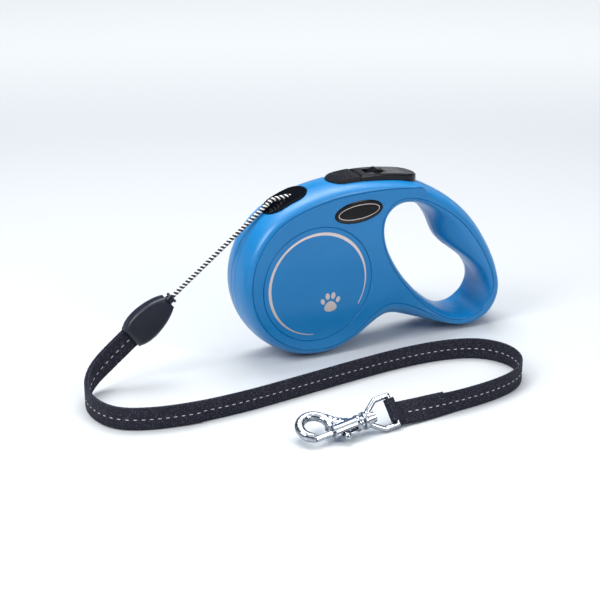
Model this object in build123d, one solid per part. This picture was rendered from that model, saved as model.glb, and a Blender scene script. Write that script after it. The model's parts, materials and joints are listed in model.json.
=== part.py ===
"""Retractable dog leash: two-shell housing, sprung cord reel, brake button, cord, strap and bolt snap.

Millimetres, +Z up, standing on the drum and the handle. While it is being modelled the drum's
reel axis is at x = 0; main() then moves everything so that the housing is centred on the origin.
"""
import os
from math import asin, atan2, cos, degrees, hypot, radians, sin, tan

from build123d import *

# Housing
HALF_THICKNESS = 15.0
WALL = 2.2
RIM_FILLET = 4.6
SEAM_Y = -2.4
DRUM_CENTRE = (2.8, 47.4)
DRUM_RADIUS = 47.4
DRUM_ARC_START = 124.0
DRUM_ARC_END = 300.0
DRUM_ARC_POINTS = 10
DISC_RADIUS = 33.0
DISC_THICKNESS = 1.0
DISC_GAP = 0.12
BADGE_CENTRE = (24.6, 83.0)
BADGE_LENGTH = 29.5
BADGE_HEIGHT = 12.4
BADGE_TILT = 4.0
BADGE_THICKNESS = 1.4
BADGE_PROUD = 0.4

# Reel and its ratchet
REEL_CENTRE = (0.0, 44.5)
AXLE_RADIUS = 4.0
RUNNING_FIT = 0.05
AXLE_END = HALF_THICKNESS - 2.6
AXLE_BOSS_END = HALF_THICKNESS - 3.8
AXLE_BOSS_WALL = 3.0
HUB_RADIUS = 18.0
HUB_WALL = 1.5
FLANGE_RADIUS = 36.0
FLANGE_THICKNESS = 1.5
REEL_LEFT_Y = -10.8
RATCHET_Y = 6.0
RATCHET_THICKNESS = 3.0
RATCHET_TEETH = 12
RATCHET_DEPTH = 3.2
RATCHET_GAP_ANGLE = 15.0
RETRACT_TEETH = 3
COVER_THICKNESS = 1.4
WINDING_RADIUS = 31.0
SPRING_THICKNESS = 0.5
SPRING_TURNS = 9

# Cord
CORD_DIAMETER = 2.5
MOVING_GAP = 0.3
CORD_ROOM = 0.4
OUTLET_LIP = (-23.8, 0.0, 89.6)
COLLAR_TOP = (-79.8, 0.0, 46.0)
LEAD_BENDS = [(-8.5, 0.0, 93.0), (-20.5, 0.0, 92.17)]

# Outlet bush
BUSH_LENGTH = 27.0
BUSH_HALF_WIDTH = 8.4
BUSH_DEPTH = 4.5
BUSH_PROUD = 0.5
BUSH_MIDDLE = (-13.5, 90.9)
BUSH_SLOPE = 23.0
DIMPLE_CENTRE = (-17.0, 98.0)
DIMPLE_RADIUS = 7.5
FIT_GAP = 0.12

# Brake button
PLATE_FRONT = 12.0
BUTTON_FRONT = 29.5
BUTTON_REAR = 67.0
BUTTON_HALF_WIDTH = 8.0
BUTTON_HEIGHT = 3.0
BUTTON_SUNK = 1.0
BUTTON_TRAVEL = 3.0
BUTTON_GAP = 0.35
BUTTON_EDGE = 1.2
POCKET_ROOM = 0.6
# Shared top line of the plate and the button: place along the housing, height
TRIM_TOP = [
    (9.0, 98.0), (13.0, 98.9), (18.0, 99.7), (24.0, 100.3), (30.0, 100.6), (40.0, 100.3), (50.0, 99.3),
    (60.0, 97.6), (68.0, 95.9),
]
PLATE_THICKNESS = 1.1
LOCK_TRAVEL = 3.0
LOCK_BASE_Z = 97.9
WEB_REACH = 3.0
LOCK_PEAK = 42.4
LOCK_LENGTH = 9.0
LOCK_WIDTH = 6.4
PLUNGER_X = 34.0
PLUNGER_SIZE = 4.0
PLUNGER_Y = 3.5
PLUNGER_TOP = 97.4
PLUNGER_REST_GAP = 0.05
TUB_FLOOR_Z = 89.3
TUB_HEIGHT = 3.4
TUB_FLOOR = 1.2
TUB_WALL = 1.2
TUB_WIDTH = 15.0
TUB_REACH = 13.5
BUTTON_SPRING_PLACE = (38.3, -2.6)
BUTTON_SPRING_RADIUS = 2.0
BUTTON_SPRING_WIRE = 0.35
BUTTON_SPRING_TOP = 96.4
BUTTON_SPRING_TURNS = 4

# Pawl
PAWL_PIVOT = (8.0, 87.0)
PAWL_PIN_RADIUS = 1.5
PAWL_Y = (2.2, 8.8)
PAWL_TOOTH_ANGLE = 50.0
PAWL_TOOTH_WIDTH = 3.0
PAWL_REST_GAP = 0.6
PAWL_BACK = 1.8
PAWL_TAIL = 3.5
PAWL_HUB_WALL = 1.7
PIN_BOSS_WALL = 1.8
PIN_END = HALF_THICKNESS - 3.5
TOOTH_CLEARANCE = 0.2

# Connector and strap
COLLAR_LENGTH = 3.2
COLLAR_RADIUS = 3.3
CONNECTOR_LENGTH = 28.0
CONNECTOR_HALF_WIDTH = 8.9
CONNECTOR_HALF_THICKNESS = 4.2
STRAP_WIDTH = 12.0
STRAP_THICKNESS = 2.4
STRAP_BASE = 0.2
STRAP_IN_CONNECTOR = 5.0
CONNECTOR_EDGE = 2.6
COLLAR_FLANGE = 1.3
COLLAR_STEP = 0.8
EYELET = (2.4, 2.6, 2.0)
SLOT_GAP = 0.15

# Bolt snap
EYE_LEAN = 35.0
EYE_WIRE = 1.25
EYE_BAR_LENGTH = 13.0
EYE_DEPTH = 14.5
BAR_CENTRE = (-2.5, -105.0, 8.9)
GATE_CENTRE = (-44.0, -109.0, 4.6)
HOOK_ROLL = 18.0
BARREL_RADIUS = 3.6
LOOP_RADIUS = 7.7
LOOP_WIRE = 2.3
GATE_REACH = (6.0, 4.2)
BOLT_RADIUS = 1.5
BOLT_TRAVEL = 6.0
KNOB_RADIUS = 2.0
KNOB_REACH = 5.4
STEM_RADIUS = 1.2
RIVET_RADIUS = 1.7
RIVET_HEAD = 1.6
EYE_BOSS = 3.0
EYE_BOSS_WALL = 1.5
HEAD_RIM = 1.1
RIVET_IN_HOOK = 2.8
# Turned neck of the hook: length of each step after the eye, and how far it stands off the barrel
NECK_STEPS = [(2.2, 1.0), (2.0, -0.6), (1.6, 0.7)]
BOLT_LENGTH = 13.5
KNOB_PLACE = 11.5
STEM_HEIGHT = 4.6
BOLT_SPRING_RADIUS = 1.05
BOLT_SPRING_WIRE = 0.2
BOLT_SPRING_TURNS = 6
SPRING_ROOM = 1.2

# Housing screws, driven from the right side
SCREW_PLACES = [(-9.0, 83.6), (41.2, 42.5), (60.5, 19.3), (86.0, 77.2)]
SCREW_HEAD_RADIUS = 2.1
SCREW_SHANK_RADIUS = 1.1
BOSS_RADIUS = 3.2
SCREW_TIP_Y = 4.0 - HALF_THICKNESS
SCREW_SEAT_Y = HALF_THICKNESS - 6.0
SCREW_HEAD_Y = HALF_THICKNESS - 4.4
SCREW_WELL_GAP = 0.15

# Outline of the housing beyond the drum's arc, from its lower end round the handle to the top
OUTLINE_POINTS = [
    (36.5, 11.6), (46.0, 15.2), (58.0, 12.9), (76.0, 6.4), (90.0, 1.8), (101.0, 0.4), (111.5, 3.6),
    (118.8, 11.5), (121.2, 23.0), (118.8, 36.0), (110.4, 54.0), (97.0, 71.6), (79.5, 85.0),
    (60.0, 93.9), (40.0, 97.5), (22.0, 98.7), (5.0, 97.2), (-9.0, 93.5),
]

# Finger hole: the edge on the faces and the narrower throat at the middle plane
HOLE_FACE = [
    (39.9, 68.5), (41.5, 78.2), (48.7, 85.0), (59.5, 85.5), (72.5, 80.3), (88.0, 69.3), (101.0, 54.5),
    (110.0, 38.6), (113.9, 25.0), (111.2, 15.8), (103.8, 8.9), (92.0, 7.0), (80.0, 11.4), (66.5, 22.0),
    (53.8, 36.4), (43.8, 53.0),
]
HOLE_THROAT = [
    (43.6, 67.5), (45.2, 75.0), (50.5, 79.6), (58.5, 81.0), (67.8, 77.8), (75.6, 69.5), (80.5, 58.0),
    (94.0, 45.0), (108.0, 31.0), (111.6, 20.5), (106.6, 10.6), (95.0, 9.0), (82.0, 14.4), (69.5, 24.2),
    (57.2, 37.8), (47.8, 53.3),
]
THROAT_SHARE = 0.72

# The strap's middle line, from inside the connector to the bar of the bolt snap
STRAP_ROUTE = [
    (-98.0, 0.0, 31.5), (-113.0, 0.0, 20.1), (-127.0, -2.5, 9.6), (-134.5, -14.0, 6.2),
    (-137.0, -31.0, 6.2), (-131.0, -48.0, 6.2), (-115.0, -56.0, 6.2), (-92.0, -59.5, 6.2),
    (-64.0, -58.8, 6.2), (-32.0, -54.5, 6.2), (2.0, -49.5, 6.2), (36.0, -45.6, 6.2),
    (64.0, -46.5, 6.2), (83.0, -53.5, 6.2), (92.0, -68.0, 6.2), (90.0, -84.0, 6.2),
    (79.0, -96.5, 6.2), (60.0, -103.0, 6.2), (34.0, -105.8, 6.2), (12.0, -106.4, 6.2),
    (-2.5, -105.2, 6.2),
]

CAVITY_HALF = HALF_THICKNESS - WALL
CORD_RADIUS = CORD_DIAMETER / 2
LEAD_RADIUS = WINDING_RADIUS + CORD_RADIUS + MOVING_GAP
RETRACT_ANGLE = RETRACT_TEETH * 360 / RATCHET_TEETH
RETRACT_TRAVEL = radians(RETRACT_ANGLE) * LEAD_RADIUS
PAWL_ANGLE = degrees(asin(BUTTON_TRAVEL / (PLUNGER_X - PAWL_PIVOT[0])))


def on_drum(angle, radius=DRUM_RADIUS):
    """Point of the drum's outline at an angle from +X."""
    a = radians(angle)
    return (DRUM_CENTRE[0] + radius * cos(a), DRUM_CENTRE[1] + radius * sin(a))


def around_reel(angle, radius):
    a = radians(angle)
    return (REEL_CENTRE[0] + radius * cos(a), REEL_CENTRE[1] + radius * sin(a))


def across(sketch, y_from, y_to):
    """Extrude a sketch drawn in x and z through the thickness, from y_from to y_to."""
    plane = Plane(origin=(0, y_from, 0), x_dir=(1, 0, 0), z_dir=(0, -1, 0))
    return plane * extrude(sketch, amount=-(y_to - y_from))


def rod(place, radius, y_from, y_to):
    return across(Pos(place[0], place[1]) * Circle(radius), y_from, y_to)


def outline_points():
    """The housing's outline as a ring of points: round the drum, along the handle, over the top."""
    step = (DRUM_ARC_END - DRUM_ARC_START) / DRUM_ARC_POINTS
    drum = [on_drum(DRUM_ARC_START + step * i) for i in range(DRUM_ARC_POINTS + 1)]
    return drum + OUTLINE_POINTS


def outline_face(shift=0.0):
    """The housing's outline; a positive shift moves it outwards."""
    ring = outline_points()
    return closed_spline(grown(ring, shift) if shift else ring)


def closed_spline(points):
    return make_face(Spline(points, periodic=True))


def grown(points, distance):
    """Closed points moved outwards by a distance, for an anticlockwise or clockwise ring."""
    count = len(points)
    area = sum(points[i - 1][0] * points[i][1] - points[i][0] * points[i - 1][1] for i in range(count))
    side = 1 if area > 0 else -1
    moved = []
    for i, (x, z) in enumerate(points):
        dx = points[(i + 1) % count][0] - points[i - 1][0]
        dz = points[(i + 1) % count][1] - points[i - 1][1]
        size = hypot(dx, dz)
        moved.append((x + side * distance * dz / size, z - side * distance * dx / size))
    return moved


def blend_points(inner, outer, share):
    return [(a + (c - a) * share, b + (d - b) * share) for (a, b), (c, d) in zip(inner, outer)]


def hole_solid(margin=0.0):
    """The flared finger hole as a solid, or the same grown by a margin."""
    reach = HALF_THICKNESS + 1.0
    beside = blend_points(HOLE_FACE, HOLE_THROAT, THROAT_SHARE)
    sections = [(-reach, HOLE_FACE), (-6.5, beside), (0.0, HOLE_THROAT), (6.5, beside), (reach, HOLE_FACE)]
    faces = []
    for y, points in sections:
        plane = Plane(origin=(0, y, 0), x_dir=(1, 0, 0), z_dir=(0, -1, 0))
        faces.append(plane * closed_spline(grown(points, margin) if margin else points))
    return loft(faces)


def badge_sketch(gap=0.0):
    shape = Ellipse(BADGE_LENGTH / 2 + gap, BADGE_HEIGHT / 2 + gap)
    return Pos(*BADGE_CENTRE) * Rot(0, 0, BADGE_TILT) * shape


def skin_band(depth, proud):
    """The layer of the rim from a depth inside the outline to a height outside it."""
    return across(outline_face(proud) - outline_face(-depth), -HALF_THICKNESS, HALF_THICKNESS)


def bush_prism(gap=0.0):
    """Oval prism that the outlet bush fills, square to the rim."""
    half = BUSH_HALF_WIDTH + gap
    oval = SlotOverall(BUSH_LENGTH + 2 * gap, 2 * half)
    place = Location((BUSH_MIDDLE[0], 0, BUSH_MIDDLE[1]), (0, -BUSH_SLOPE, 0))
    return place * extrude(oval, amount=12, both=True)


def button_plan(x_from, x_to, gap=0.0):
    """Plan of the brake button's opening between two places along the housing, tips rounded."""
    full = SlotOverall(BUTTON_REAR - PLATE_FRONT + 2 * gap, 2 * (BUTTON_HALF_WIDTH + gap))
    middle = (BUTTON_REAR + PLATE_FRONT) / 2
    window = Pos((x_from + x_to) / 2, 0) * Rectangle(x_to - x_from, 40)
    return (Pos(middle, 0) * full) & window


def button_prism(x_from, x_to, gap=0.0):
    return Pos(0, 0, 75) * extrude(button_plan(x_from, x_to, gap), amount=40)


def cord_direction():
    """Unit direction of the free cord, from the outlet down to the collar."""
    return (Vector(*COLLAR_TOP) - Vector(*OUTLET_LIP)).normalized()


def lead_tangent():
    """Where the inner cord leaves the winding, on the side of the handle."""
    dx = LEAD_BENDS[0][0] - REEL_CENTRE[0]
    dz = LEAD_BENDS[0][2] - REEL_CENTRE[1]
    angle = atan2(dz, dx) - radians(90) + asin(LEAD_RADIUS / hypot(dx, dz))
    x, z = around_reel(degrees(angle), LEAD_RADIUS)
    return (x, 0.0, z)


def lead_route():
    return [lead_tangent()] + LEAD_BENDS + [OUTLET_LIP]


def lead_path():
    return FilletPolyline(lead_route(), radius=corner_radii(lead_route()))


def corner_radii(points):
    """Radius of each corner of a route: 0.45 of the shorter run over the tangent of half the turn."""
    radii = []
    for a, b, c in zip(points, points[1:], points[2:]):
        first = Vector(*b) - Vector(*a)
        second = Vector(*c) - Vector(*b)
        turn = radians(first.get_angle(second))
        radii.append(0.45 * min(first.length, second.length) / tan(turn / 2))
    return radii


def tube(path, radius):
    start = Plane(origin=path @ 0, z_dir=path % 0)
    return sweep(start * Circle(radius), path=path)


def free_cord_length():
    return (Vector(*COLLAR_TOP) - Vector(*OUTLET_LIP)).length


def straight_tube(start, end, radius):
    a = Vector(*start)
    run = Vector(*end) - a
    return Plane(origin=a, z_dir=run.normalized()) * extrude(Circle(radius), amount=run.length)


# Housing

def housing_body():
    """Both shells as one: rounded slab, finger hole, cavity and the openings in the rim."""
    slab = across(outline_face(), -HALF_THICKNESS, HALF_THICKNESS)
    faces = slab.faces().sort_by(Axis.Y)
    slab = fillet(faces[0].edges() + faces[-1].edges(), radius=RIM_FILLET)
    return slab - hole_solid()


def cavity():
    """Room inside the shells, clear of the finger hole and of the pocket behind the button."""
    inside = across(outline_face(-WALL), -CAVITY_HALF, CAVITY_HALF)
    rear_pocket = Pos(70, 0, 92) * Box(50, 40, 24)
    return inside - hole_solid(WALL) - rear_pocket


def button_pocket():
    """Opening for the plate and the button: shallow under the plate, deeper under the button."""
    shallow = across(outline_face(2.0), -HALF_THICKNESS, HALF_THICKNESS)
    plate_floor = across(outline_face(-PLATE_THICKNESS), -HALF_THICKNESS, HALF_THICKNESS)
    deep_floor = across(outline_face(-(BUTTON_SUNK + BUTTON_TRAVEL + POCKET_ROOM)), -HALF_THICKNESS, HALF_THICKNESS)
    front = button_prism(PLATE_FRONT - 1, BUTTON_FRONT, FIT_GAP) & (shallow - plate_floor)
    rear = button_prism(BUTTON_FRONT - WEB_REACH, BUTTON_REAR + 1, BUTTON_GAP) & (shallow - deep_floor)
    return front + rear


def housing_shells():
    """Left and right halves: walls, bosses for the axle, pawl pin and screws, and every opening."""
    body = housing_body() - cavity()
    for side in (-1, 1):
        ends = sorted((side * CAVITY_HALF, side * AXLE_BOSS_END))
        body = body + rod(REEL_CENTRE, AXLE_RADIUS + AXLE_BOSS_WALL, *ends)
    body = body + rod(PAWL_PIVOT, PAWL_PIN_RADIUS + PIN_BOSS_WALL, -CAVITY_HALF, PAWL_Y[0] - MOVING_GAP)
    body = body + rod(PAWL_PIVOT, PAWL_PIN_RADIUS + PIN_BOSS_WALL, PAWL_Y[1] + MOVING_GAP, CAVITY_HALF)
    for place in SCREW_PLACES:
        body = body + rod(place, BOSS_RADIUS, -CAVITY_HALF, CAVITY_HALF)
    body = body - hole_solid()
    body = body - rod(REEL_CENTRE, AXLE_RADIUS, -AXLE_END, AXLE_END)
    body = body - rod(PAWL_PIVOT, PAWL_PIN_RADIUS, -PIN_END, PIN_END)
    for side in (-1, 1):
        face, floor = side * (HALF_THICKNESS + 1), side * (HALF_THICKNESS - DISC_THICKNESS)
        body = body - rod(REEL_CENTRE, DISC_RADIUS + DISC_GAP, min(face, floor), max(face, floor))
        floor = side * (HALF_THICKNESS - BADGE_THICKNESS + BADGE_PROUD)
        body = body - across(badge_sketch(FIT_GAP), min(face, floor), max(face, floor))
    body = body - (bush_prism(FIT_GAP) & skin_band(BUSH_DEPTH, 3.0))
    body = body - button_pocket()
    for place in SCREW_PLACES:
        body = body - rod(place, SCREW_SHANK_RADIUS, SCREW_TIP_Y, HALF_THICKNESS + 1)
        body = body - rod(place, SCREW_HEAD_RADIUS + SCREW_WELL_GAP, SCREW_SEAT_Y, HALF_THICKNESS + 1)
    near = Pos(0, -50 + SEAM_Y, 50) * Box(400, 100, 200)
    far = Pos(0, 50 + SEAM_Y, 50) * Box(400, 100, 200)
    return largest(body & near), largest(body & far)


def largest(shape):
    return max(shape.solids(), key=lambda s: s.volume)


def disc(side):
    floor, face = HALF_THICKNESS - DISC_THICKNESS, HALF_THICKNESS
    return rod(REEL_CENTRE, DISC_RADIUS, *sorted((side * floor, side * face)))


def badge(side):
    floor = HALF_THICKNESS - BADGE_THICKNESS + BADGE_PROUD
    face = HALF_THICKNESS + BADGE_PROUD
    plate = across(badge_sketch(), *sorted((side * floor, side * face)))
    outer = plate.faces().sort_by(Axis.Y)[0 if side < 0 else -1]
    return fillet(outer.edges(), radius=BADGE_PROUD)


def screws(places, head_radius, shank_radius, y_tip, y_seat, y_head):
    """Screws along the thickness as separate solids, each with a cross recess."""
    result = []
    for place in places:
        screw = rod(place, shank_radius, y_tip, y_seat) + rod(place, head_radius, y_seat, y_head)
        for angle in (0, 90):
            slot = Pos(*place) * Rot(0, 0, angle) * Rectangle(head_radius * 1.3, head_radius * 0.3)
            screw = screw - across(slot, y_head - 0.9, y_head + 1)
        result.append(screw)
    return Compound(result)


# Cord outlet, plate and button

def outlet_bush():
    """Guide in the rim: an oval plug with a bent bore and a rounded mouth."""
    plug = bush_prism() & skin_band(BUSH_DEPTH, BUSH_PROUD)
    plug = plug - tube(lead_path(), CORD_RADIUS + CORD_ROOM)
    plug = plug - straight_tube(OUTLET_LIP, COLLAR_TOP, CORD_RADIUS + CORD_ROOM)
    dimple = Pos(DIMPLE_CENTRE[0], 0, DIMPLE_CENTRE[1]) * Sphere(DIMPLE_RADIUS)
    return largest(plug - dimple)


def under_trim_top():
    """Everything under the top line that the plate and the button share."""
    first, last = TRIM_TOP[0], TRIM_TOP[-1]
    low = last[1] - HALF_THICKNESS
    edges = [Spline(TRIM_TOP), Polyline([last, (last[0], low), (first[0], low), first])]
    return across(make_face(edges), -HALF_THICKNESS, HALF_THICKNESS)


def button_frame():
    """Crowned plate before the button, with the guide tub that hangs behind it inside the housing."""
    band = skin_band(PLATE_THICKNESS, 2 * BUTTON_HEIGHT) & under_trim_top()
    plate = button_prism(PLATE_FRONT, BUTTON_FRONT - BUTTON_GAP) & band
    front = BUTTON_FRONT - WEB_REACH + MOVING_GAP
    rear = BUTTON_FRONT + TUB_REACH
    middle = (front + rear) / 2
    tub = Pos(middle, 0, TUB_FLOOR_Z + TUB_HEIGHT / 2) * Box(rear - front, TUB_WIDTH, TUB_HEIGHT)
    room = Pos(middle, 0, TUB_FLOOR_Z + TUB_FLOOR + TUB_HEIGHT / 2)
    room = room * Box(rear - front - 2 * TUB_WALL, TUB_WIDTH - 2 * TUB_WALL, TUB_HEIGHT)
    window = Pos(PLUNGER_X, PLUNGER_Y, TUB_FLOOR_Z) * Box(PLUNGER_SIZE + 1, PLUNGER_SIZE + 1, 3 * TUB_FLOOR)
    rise = 2 * (PLUNGER_TOP - TUB_FLOOR_Z)
    web = Pos(front + TUB_WALL / 2, 0, TUB_FLOOR_Z + rise / 2) * Box(TUB_WALL, TUB_WIDTH - 2 * TUB_WALL, rise)
    web = web & across(outline_face(-PLATE_THICKNESS / 2), -HALF_THICKNESS, HALF_THICKNESS)
    return largest(plate + web + (tub - room - window))


def plunger():
    """Stem under the button, with a round foot that rolls on the pawl."""
    foot = PLUNGER_SIZE / 2
    low = PAWL_PIVOT[1] + PAWL_BACK + PLUNGER_REST_GAP
    middle = (PLUNGER_TOP + low + foot) / 2
    stem = Pos(PLUNGER_X, PLUNGER_Y, middle) * Box(PLUNGER_SIZE, PLUNGER_SIZE, PLUNGER_TOP - low - foot)
    return stem + rod((PLUNGER_X, low + foot), foot, PLUNGER_Y - foot, PLUNGER_Y + foot)


def brake_button():
    """Thumb button: a long block that follows the rim, with a plunger and a spring seat."""
    body = button_prism(BUTTON_FRONT, BUTTON_REAR)
    body = body & under_trim_top()
    body = body - across(outline_face(-BUTTON_SUNK), -HALF_THICKNESS, HALF_THICKNESS)
    top = body.faces().filter_by(lambda f: f.normal_at(f.center()).Z > 0.7).sort_by(Axis.Z)[-1]
    body = fillet(top.edges(), radius=BUTTON_EDGE)
    groove = Pos(LOCK_PEAK - LOCK_TRAVEL / 2, 0, LOCK_BASE_Z - MOVING_GAP)
    size = LOCK_TRAVEL + LOCK_LENGTH + 2 * MOVING_GAP
    align = (Align.CENTER, Align.CENTER, Align.MIN)
    groove = groove * Box(size, LOCK_WIDTH + 2 * MOVING_GAP, 3 * BUTTON_HEIGHT, align=align)
    return largest(body + plunger() - groove)


def lock_slider():
    """Ridge on the button that slides forward to hold it down."""
    half = LOCK_LENGTH / 2
    points = [(-half, 0), (half, 0), (half, 1.5), (0.6, 3.6), (-0.8, 3.6), (-half, 1.3)]
    outline = Pos(LOCK_PEAK, LOCK_BASE_Z) * make_face(Polyline(points, close=True))
    ridge = across(outline, -LOCK_WIDTH / 2, LOCK_WIDTH / 2)
    return fillet(ridge.edges().filter_by(Axis.Y).sort_by(Axis.Z)[-2:], radius=0.6)


def coil_spring(place, z_from, z_to, coil_radius, wire_radius, turns):
    path = Helix(pitch=(z_to - z_from - 2 * wire_radius) / turns,
                 height=z_to - z_from - 2 * wire_radius, radius=coil_radius)
    start = Plane(origin=path @ 0, z_dir=path % 0)
    spring = sweep(start * Circle(wire_radius), path=path)
    return Pos(place[0], place[1], z_from + wire_radius) * spring


def button_spring():
    return coil_spring(BUTTON_SPRING_PLACE, TUB_FLOOR_Z + TUB_FLOOR, BUTTON_SPRING_TOP,
                       BUTTON_SPRING_RADIUS, BUTTON_SPRING_WIRE, BUTTON_SPRING_TURNS)


def brake_pawl():
    """Lever under the plunger, with a tooth that drops between the ratchet's teeth."""
    x, z = PAWL_PIVOT
    tip = around_reel(PAWL_TOOTH_ANGLE, FLANGE_RADIUS + PAWL_REST_GAP)
    end_x = PLUNGER_X + PAWL_TAIL
    arm = make_face(Polyline([(x, z + PAWL_BACK), (end_x, z + PAWL_BACK), (end_x, z - 1.6), (x, z - 2.6)],
                             close=True))
    lever = across(arm, *PAWL_Y) + rod(PAWL_PIVOT, PAWL_PIN_RADIUS + PAWL_HUB_WALL, *PAWL_Y)
    half = PAWL_TOOTH_WIDTH / 2
    tangent = radians(PAWL_TOOTH_ANGLE + 90)
    side = (half * cos(tangent), half * sin(tangent))
    root = (tip[0] + 9, z - 1.0)
    tooth = make_face(Polyline([
        (tip[0] - side[0], tip[1] - side[1]), (tip[0] + side[0], tip[1] + side[1]),
        (root[0] - 11, root[1]), (root[0], root[1])], close=True))
    lever = lever + across(tooth, RATCHET_Y + TOOTH_CLEARANCE,
                           RATCHET_Y + RATCHET_THICKNESS - TOOTH_CLEARANCE)
    return largest(lever - rod(PAWL_PIVOT, PAWL_PIN_RADIUS + RUNNING_FIT, *PAWL_Y))


# Reel

def ratchet_gaps():
    """The spaces between the ratchet's teeth; one lies under the pawl's tooth when it is pressed."""
    pressed = around_reel(PAWL_TOOTH_ANGLE, FLANGE_RADIUS + PAWL_REST_GAP)
    rel_x, rel_z = pressed[0] - PAWL_PIVOT[0], pressed[1] - PAWL_PIVOT[1]
    a = radians(PAWL_ANGLE)
    x = PAWL_PIVOT[0] + rel_x * cos(a) + rel_z * sin(a)
    z = PAWL_PIVOT[1] - rel_x * sin(a) + rel_z * cos(a)
    middle = degrees(atan2(z - REEL_CENTRE[1], x - REEL_CENTRE[0]))
    gaps = []
    for tooth in range(RATCHET_TEETH):
        angle = middle + tooth * 360 / RATCHET_TEETH
        half = RATCHET_GAP_ANGLE / 2
        inner, outer = FLANGE_RADIUS - RATCHET_DEPTH, FLANGE_RADIUS + 2
        corners = [around_reel(angle - half, inner), around_reel(angle - half - 1, outer),
                   around_reel(angle + half + 1, outer), around_reel(angle + half, inner)]
        gaps.append(across(make_face(Polyline(corners, close=True)),
                           RATCHET_Y - 1, RATCHET_Y + RATCHET_THICKNESS + 1))
    return gaps


def reel():
    """Cord spool: hub with the spring chamber, a plain flange and the ratchet flange."""
    floor_y = REEL_LEFT_Y + FLANGE_THICKNESS
    top_y = RATCHET_Y + RATCHET_THICKNESS
    body = rod(REEL_CENTRE, FLANGE_RADIUS, REEL_LEFT_Y, floor_y)
    body = body + rod(REEL_CENTRE, HUB_RADIUS, floor_y, top_y)
    body = body + rod(REEL_CENTRE, FLANGE_RADIUS, RATCHET_Y, top_y)
    body = body - rod(REEL_CENTRE, HUB_RADIUS - HUB_WALL, floor_y, top_y + 1)
    body = body - rod(REEL_CENTRE, AXLE_RADIUS + RUNNING_FIT, REEL_LEFT_Y - 1, floor_y + 1)
    for gap in ratchet_gaps():
        body = body - gap
    return largest(body)


def reel_cover():
    """Lid of the spring chamber, seated on the ratchet flange."""
    seat = RATCHET_Y + RATCHET_THICKNESS
    lid = rod(REEL_CENTRE, HUB_RADIUS + 3, seat, seat + COVER_THICKNESS)
    return lid - rod(REEL_CENTRE, AXLE_RADIUS + RUNNING_FIT, seat - 1, seat + COVER_THICKNESS + 1)


def power_spring():
    """Flat spiral spring from the axle's slot to the hub's wall."""
    inner = AXLE_RADIUS + 0.6
    outer = HUB_RADIUS - HUB_WALL - SPRING_THICKNESS - 0.5
    steps = SPRING_TURNS * 8
    sides = []
    for extra in (0.0, SPRING_THICKNESS):
        points = []
        for i in range(steps + 1):
            share = i / steps
            radius = inner + (outer - inner) * share + extra
            points.append(around_reel(360 * SPRING_TURNS * share, radius))
        sides.append(points)
    first, second = Spline(sides[0]), Spline(sides[1])
    ends = [Line(sides[0][0], sides[1][0]), Line(sides[0][-1], sides[1][-1])]
    strip = make_face([first, second] + ends)
    return across(strip, REEL_LEFT_Y + FLANGE_THICKNESS + 0.3, RATCHET_Y + RATCHET_THICKNESS - 0.3)


def cord_winding():
    low, high = REEL_LEFT_Y + FLANGE_THICKNESS, RATCHET_Y
    return rod(REEL_CENTRE, WINDING_RADIUS, low, high) - rod(REEL_CENTRE, HUB_RADIUS, low - 1, high + 1)


# Cord end: collar, connector and strap

def connector_plane(distance):
    """Plane on the cord's axis at a distance beyond the collar's top; its y is across the strap."""
    direction = cord_direction()
    origin = Vector(*COLLAR_TOP) + direction * distance
    return Plane(origin=origin, x_dir=direction, z_dir=(0, -1, 0))


def cord_collar():
    """Flanged ring at the top of the connector; the cord is clamped in it."""
    direction = cord_direction()
    top = Vector(*COLLAR_TOP)
    ring = Plane(origin=top, z_dir=direction) * extrude(Circle(COLLAR_RADIUS), amount=COLLAR_FLANGE)
    neck = Plane(origin=top, z_dir=direction) * extrude(Circle(COLLAR_RADIUS - COLLAR_STEP), amount=COLLAR_LENGTH)
    return ring + neck


def connector():
    """Flat pear-shaped grip that joins the cord to the strap, with a slot for the strap."""
    w = CONNECTOR_HALF_WIDTH
    length = CONNECTOR_LENGTH
    side = [(0, 0.46 * w), (0.22 * length, 0.8 * w), (0.5 * length, w), (0.78 * length, 0.99 * w),
            (length - 2.5, 0.86 * w)]
    upper = Spline(side)
    lower = Spline([(x, -y) for x, y in side])
    end = Polyline([side[-1], (length, 0.72 * w), (length, -0.72 * w), (side[-1][0], -side[-1][1])])
    start = Line(side[0], (side[0][0], -side[0][1]))
    shape = make_face([upper, lower, end, start])
    body = extrude(shape, amount=CONNECTOR_HALF_THICKNESS, both=True)
    faces = body.faces().sort_by(Axis.Z)
    body = fillet(faces[0].edges() + faces[-1].edges(), radius=CONNECTOR_EDGE)
    body = connector_plane(COLLAR_LENGTH) * body
    slot = connector_plane(COLLAR_LENGTH + CONNECTOR_LENGTH - STRAP_IN_CONNECTOR)
    slot = slot * Pos(15 - SLOT_GAP, 0, 0)
    slot = slot * Box(30, STRAP_WIDTH + 2 * SLOT_GAP, STRAP_THICKNESS + 2 * SLOT_GAP)
    eyelet = connector_plane(COLLAR_LENGTH + CONNECTOR_LENGTH - 6) * Pos(0, 0.8 * w, 0) * Box(*EYELET)
    return body - slot - eyelet


def strap_path():
    points = [(x, y, 0) for x, y, z in STRAP_ROUTE]
    return FilletPolyline(points, radius=corner_radii(points))


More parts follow.
